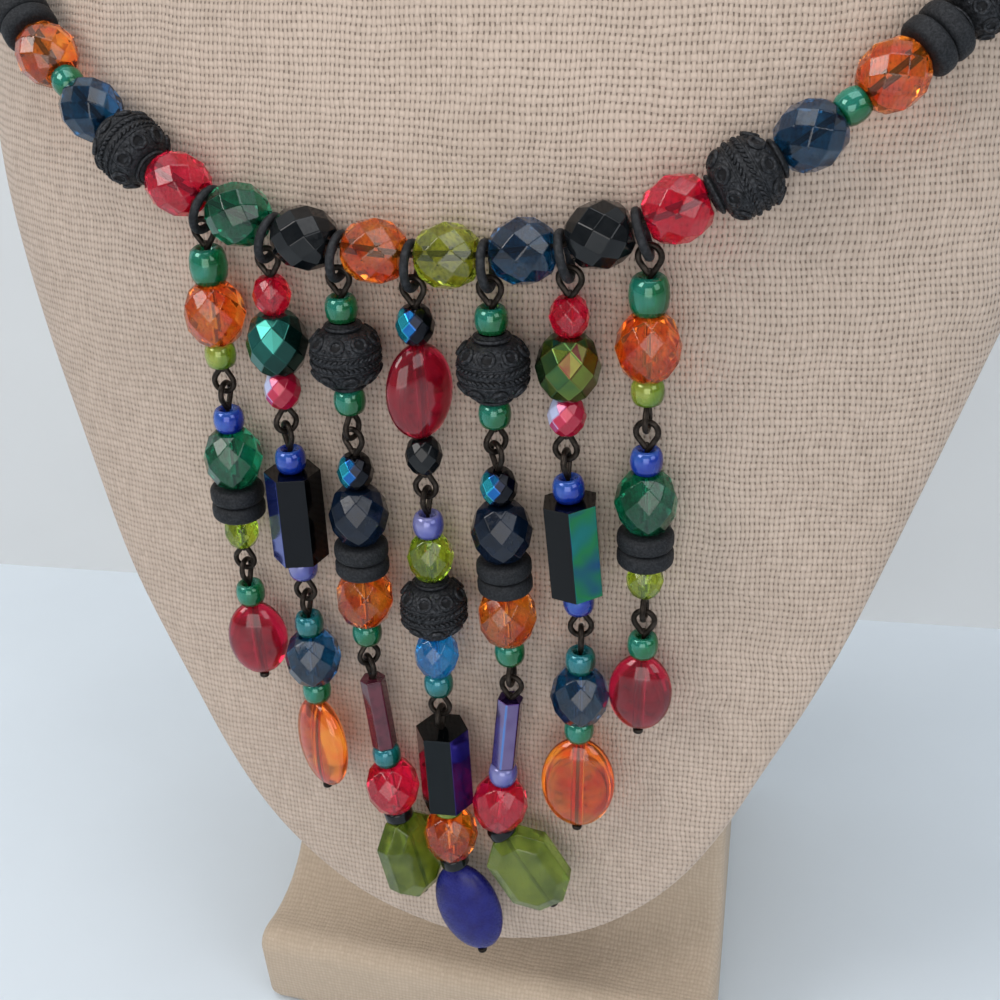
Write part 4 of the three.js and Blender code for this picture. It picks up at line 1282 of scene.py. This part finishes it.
def model_body():
    only()
    for number, row in enumerate(SECTIONS):
        height, half, widest, forward, backward = section_sizes(*row)
        add_ring(number == 0, BODY_CORNERS, 1, (0, widest, height))
        centre = (0, widest, height)
        pick("VERT", lambda corner: abs(corner.co.z - height) < 1e-6)
        bpy.ops.transform.resize(value=(half, 1, 1), center_override=centre)
        for sign, depth in ((-1, forward), (1, backward)):
            pick("VERT", lambda corner, sign=sign: abs(corner.co.z - height) < 1e-6
                 and (corner.co.y - widest) * sign > 1e-4)
            bpy.ops.transform.resize(value=(1, depth, 1), center_override=centre)
        for column, fuller in lip_columns(row[0]):
            pick("VERT", lambda corner, column=column: abs(corner.co.z - height) < 1e-6
                 and corner.co.y < widest - 1e-5 and abs(abs(corner.co.x) - half * column) < 1e-5)
            bpy.ops.transform.resize(value=(1, fuller, 1), center_override=centre)
    take_all()
    bpy.ops.mesh.bridge_edge_loops()
    for height in (BODY_FOOT * MM, BODY_TOP * MM):
        pick("VERT", lambda corner: abs(corner.co.z - height) < 1e-6)
        bpy.ops.mesh.edge_face_add()
        for _ in range(2):
            bpy.ops.mesh.inset(thickness=2.0 * MM if height > 0.1 else 0.3 * MM)
    turn_outwards()
    body = done("bust_body_linen")
    apply_modifier(body, "SUBSURF", levels=2, render_levels=2)
    smooth()
    return body


body = model_body()
print("body:", len(body.data.polygons), "faces")

# %% [markdown]
# ## The cloth's own map
# The weave has to keep its size where the body curves away, so its map is measured over the
# surface: across by the arc length round each level, and up by the length along the chest.

# %% Lay out the cloth map
ARC_STEPS = 48


def sizes_at(height):
    share = min(max((height / MM - BODY_FOOT) / (BODY_TOP - BODY_FOOT), 0.0), 1.0)
    for low, high in zip(SECTIONS, SECTIONS[1:]):
        if share <= high[0]:
            part = (share - low[0]) / (high[0] - low[0])
            return section_sizes(*(a + (b - a) * part for a, b in zip(low, high)))
    return section_sizes(*SECTIONS[-1])


def arc_round(height, angle):
    """The arc length in millimetres from the middle of the chest, round a level section."""
    _, half, _, forward, backward = sizes_at(height)
    total, step = 0.0, angle / ARC_STEPS
    for k in range(ARC_STEPS):
        turn = (k + 0.5) * step
        depth = forward if math.cos(turn) > 0 else backward
        total += math.hypot(half * math.cos(turn), depth * math.sin(turn)) * step
    return total / MM


def lengths_up(count=200):
    """The length along the middle of the chest up to each of a row of heights."""
    rows = [(0.0, sizes_at(BODY_FOOT * MM))]
    for k in range(1, count + 1):
        sizes = sizes_at((BODY_FOOT + (BODY_TOP - BODY_FOOT) * k / count) * MM)
        before = rows[-1][1]
        step = math.hypot(sizes[0] - before[0], (sizes[2] - sizes[3]) - (before[2] - before[3]))
        rows.append((rows[-1][0] + step / MM, sizes))
    return [row[0] for row in rows]


CHEST_LENGTHS = lengths_up()


def length_up(height):
    place = (height / MM - BODY_FOOT) / (BODY_TOP - BODY_FOOT) * (len(CHEST_LENGTHS) - 1)
    low = min(max(int(place), 0), len(CHEST_LENGTHS) - 2)
    return CHEST_LENGTHS[low] + (CHEST_LENGTHS[low + 1] - CHEST_LENGTHS[low]) * (place - low)


def map_cloth_round(obj):
    """Measures the cloth over the body. Faces that look up or down get a flat map."""
    layer = obj.data.uv_layers.new(name="cloth")
    places = {}
    for corner in obj.data.vertices:
        x, y, z = corner.co
        _, half, widest, forward, backward = sizes_at(z)
        depth = forward if y < widest else backward
        angle = math.atan2(abs(x) / half, (widest - y) / depth)
        if y < widest and z < (BODY_FOOT + LIP_ENDS * (BODY_TOP - BODY_FOOT)) * MM:
            angle = math.asin(min(abs(x) / half, 1.0))
        places[corner.index] = (arc_round(z, angle), length_up(z))
    for face in obj.data.polygons:
        sign = -1 if face.center.x < 0 else 1
        level = abs(face.normal.z) > 0.8
        for loop in face.loop_indices:
            index = obj.data.loops[loop].vertex_index
            x, y, z = obj.data.vertices[index].co
            across, up = places[index]
            layer.data[loop].uv = (x / MM, y / MM) if level else (across * sign, up)


def map_cloth_flat(obj):
    """A flat map for each face by the way that it looks, for the block of the base."""
    layer = obj.data.uv_layers.new(name="cloth")
    for face in obj.data.polygons:
        looks_to = [abs(part) for part in face.normal]
        axis = looks_to.index(max(looks_to))
        for loop in face.loop_indices:
            place = obj.data.vertices[obj.data.loops[loop].vertex_index].co / MM
            layer.data[loop].uv = [(place.y, place.z), (place.x, place.z), (place.x, place.y)][axis]


map_cloth_round(body)
body.data.materials.append(FINISH["linen"])
join_as("bust_body_linen", [body], "bust_body", slot="linen")

# %% [markdown]
# ## The base
# A block with a toe in front, a little narrower at the back. The block is cut level, the low part of
# its front is drawn forwards, and the inner corner is rounded to a hollow, as cloth pulled over it
# would be.

# %% Model the base
BASE_WIDTH, BASE_BACK_WIDTH = 78.0, 62.0
TOE_HEIGHT = 16.5
TOE_FRONT, STEM_FRONT, STEM_BACK = -40.0, -22.0, 40.0
HOLLOW_ROUND, TOE_ROUND, CORNER_ROUND = 13.5, 4.2, 4.2
BACK_LEAN, FRONT_LEAN = 4.5, 1.8
_, stem_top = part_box("bust_base")
STEM_HEIGHT = stem_top.z / MM


def narrowing(y):
    """How much narrower the base is at a depth than at the front of the toe."""
    back = (y / MM - TOE_FRONT) / (STEM_BACK - TOE_FRONT)
    return 1 + (BASE_BACK_WIDTH / BASE_WIDTH - 1) * back


def model_base():
    only()
    middle_y = (STEM_FRONT + STEM_BACK) / 2
    bpy.ops.mesh.primitive_cube_add(size=1, location=(0, middle_y * MM, STEM_HEIGHT / 2 * MM))
    bpy.ops.object.transform_apply(location=True, rotation=True, scale=True)
    start_edit()
    take_all()
    bpy.ops.transform.resize(
        value=(BASE_WIDTH * MM, (STEM_BACK - STEM_FRONT) * MM, STEM_HEIGHT * MM),
        center_override=(0, middle_y * MM, STEM_HEIGHT / 2 * MM))
    bpy.ops.mesh.bisect(plane_co=(0, 0, TOE_HEIGHT * MM), plane_no=(0, 0, 1))
    pick("FACE", lambda face: face.normal.y < -0.9 and middle(face).z < TOE_HEIGHT * MM)
    forwards = (0, (TOE_FRONT - STEM_FRONT) * MM, 0)
    bpy.ops.mesh.extrude_region_move(TRANSFORM_OT_translate={"value": forwards})
    for depth in (STEM_FRONT * MM, STEM_BACK * MM):
        pick("VERT", lambda corner, depth=depth: abs(corner.co.y - depth) < 1e-5)
        bpy.ops.transform.resize(value=(narrowing(depth), 1, 1), center_override=(0, depth, 0))
    pick("EDGE", lambda edge: abs(middle(edge).y - STEM_FRONT * MM) < 1e-5
         and abs(middle(edge).z - TOE_HEIGHT * MM) < 1e-5 and abs(middle(edge).x) < 1e-5)
    bpy.ops.mesh.bevel(offset=HOLLOW_ROUND * MM, segments=10, affect="EDGES")
    pick("VERT", lambda corner: corner.co.y > (STEM_BACK - 0.1) * MM
         and corner.co.z > 0.9 * STEM_HEIGHT * MM)
    bpy.ops.transform.translate(value=(0, -BACK_LEAN * MM, 0))
    pick("VERT", lambda corner: corner.co.y < (TOE_FRONT + 0.1) * MM and corner.co.z < 0.1 * MM)
    bpy.ops.transform.translate(value=(0, FRONT_LEAN * MM, 0))
    pick("EDGE", lambda edge: abs(middle(edge).x) < 1e-5 and middle(edge).y < (TOE_FRONT + 0.1) * MM
         and middle(edge).z > 0.9 * TOE_HEIGHT * MM)
    bpy.ops.mesh.bevel(offset=TOE_ROUND * MM, segments=6, affect="EDGES")
    turn_outwards()
    base = done("bust_base_linen")
    soften_edges(base, CORNER_ROUND * MM, segments=5, angle=50)
    smooth(40)
    return base


base = model_base()
map_cloth_flat(base)
base.data.materials.append(FINISH["base_linen"])
join_as("bust_base_linen", [base], "bust_base", slot="base_linen")
print("base reaches", [round(v / MM, 1) for v in shown_box(base)[1]], "solid",
      [round(v / MM, 1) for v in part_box("bust_base")[1]])

# %% [markdown]
# ## The masters go
# Every copy has its own mesh now, so the masters are taken out of the scene.

# %% Remove the masters
for master in MASTERS.values():
    bpy.data.objects.remove(master)

# %% [markdown]
# ## The table, the wall and the light
# The stand is on a pale table in front of a pale wall. Both are plain, and they aren't part of the
# object. The light is soft, from the upper left, with a weaker one from the right.

# %% Table and wall
WALL_LEFT = Vector((-174.9, 83.2))
WALL_RIGHT = Vector((84.2, 112.7))
TABLE_REACH = 2.5


def stage_finish(name, colour, rough):
    recipe = Recipe(name)
    darker = tuple(0.97 * part for part in colour)
    recipe.set(Base_Color=recipe.ramp(recipe.noise(40.0, detail=3.0), [(0.3, darker), (0.7, colour)]),
               Roughness=rough)
    return recipe.material


only()
bpy.ops.mesh.primitive_plane_add(size=2 * TABLE_REACH, location=(0, 0, 0))
table = bpy.context.active_object
table.name = "table_top"
table.data.materials.append(stage_finish("pale_table", (0.67, 0.735, 0.79), 0.5))

wall_way = (WALL_RIGHT - WALL_LEFT).normalized()
wall_middle = (WALL_LEFT + WALL_RIGHT) / 2 * MM
only()
bpy.ops.mesh.primitive_plane_add(
    size=2 * TABLE_REACH, location=(wall_middle.x, wall_middle.y, TABLE_REACH - 0.001),
    rotation=(math.pi / 2, 0, math.atan2(wall_way.y, wall_way.x)))
wall = bpy.context.active_object
wall.name = "pale_wall"
wall.data.materials.append(stage_finish("wall_paint", (0.67, 0.69, 0.70), 0.7))

# %% Lights
LIGHTS = (  # name, place, what it looks at, width, power, colour
    ("window_left", (-1.20, -1.00, 1.38), (0, 0, 0.12), 0.9, 16.0, (1.0, 0.97, 0.94)),
    ("window_right", (1.50, -0.90, 0.98), (0, 0, 0.12), 1.0, 7.8, (0.93, 0.96, 1.0)),
    ("ceiling", (0.1, -0.1, 1.1), (0, 0.05, 0.1), 0.8, 5.4, (0.97, 0.98, 1.0)),
    ("low_front", (0.15, -1.0, 0.22), (0, 0, 0.06), 0.7, 4.2, (1.0, 0.98, 0.96)),
)
for name, place, target, width, power, colour in LIGHTS:
    bpy.ops.object.light_add(type="AREA", location=place)
    lamp = bpy.context.active_object
    lamp.name = name
    lamp.data.size = width
    lamp.data.energy = power
    lamp.data.color = colour
    lamp.rotation_euler = (Vector(target) - Vector(place)).to_track_quat("-Z", "Y").to_euler()

world = bpy.data.worlds.new("room")
world.use_nodes = True
world.node_tree.nodes["Background"].inputs["Color"].default_value = (0.86, 0.92, 1.0, 1.0)
world.node_tree.nodes["Background"].inputs["Strength"].default_value = 0.28
bpy.context.scene.world = world
bpy.context.scene.view_settings.view_transform = "Standard"
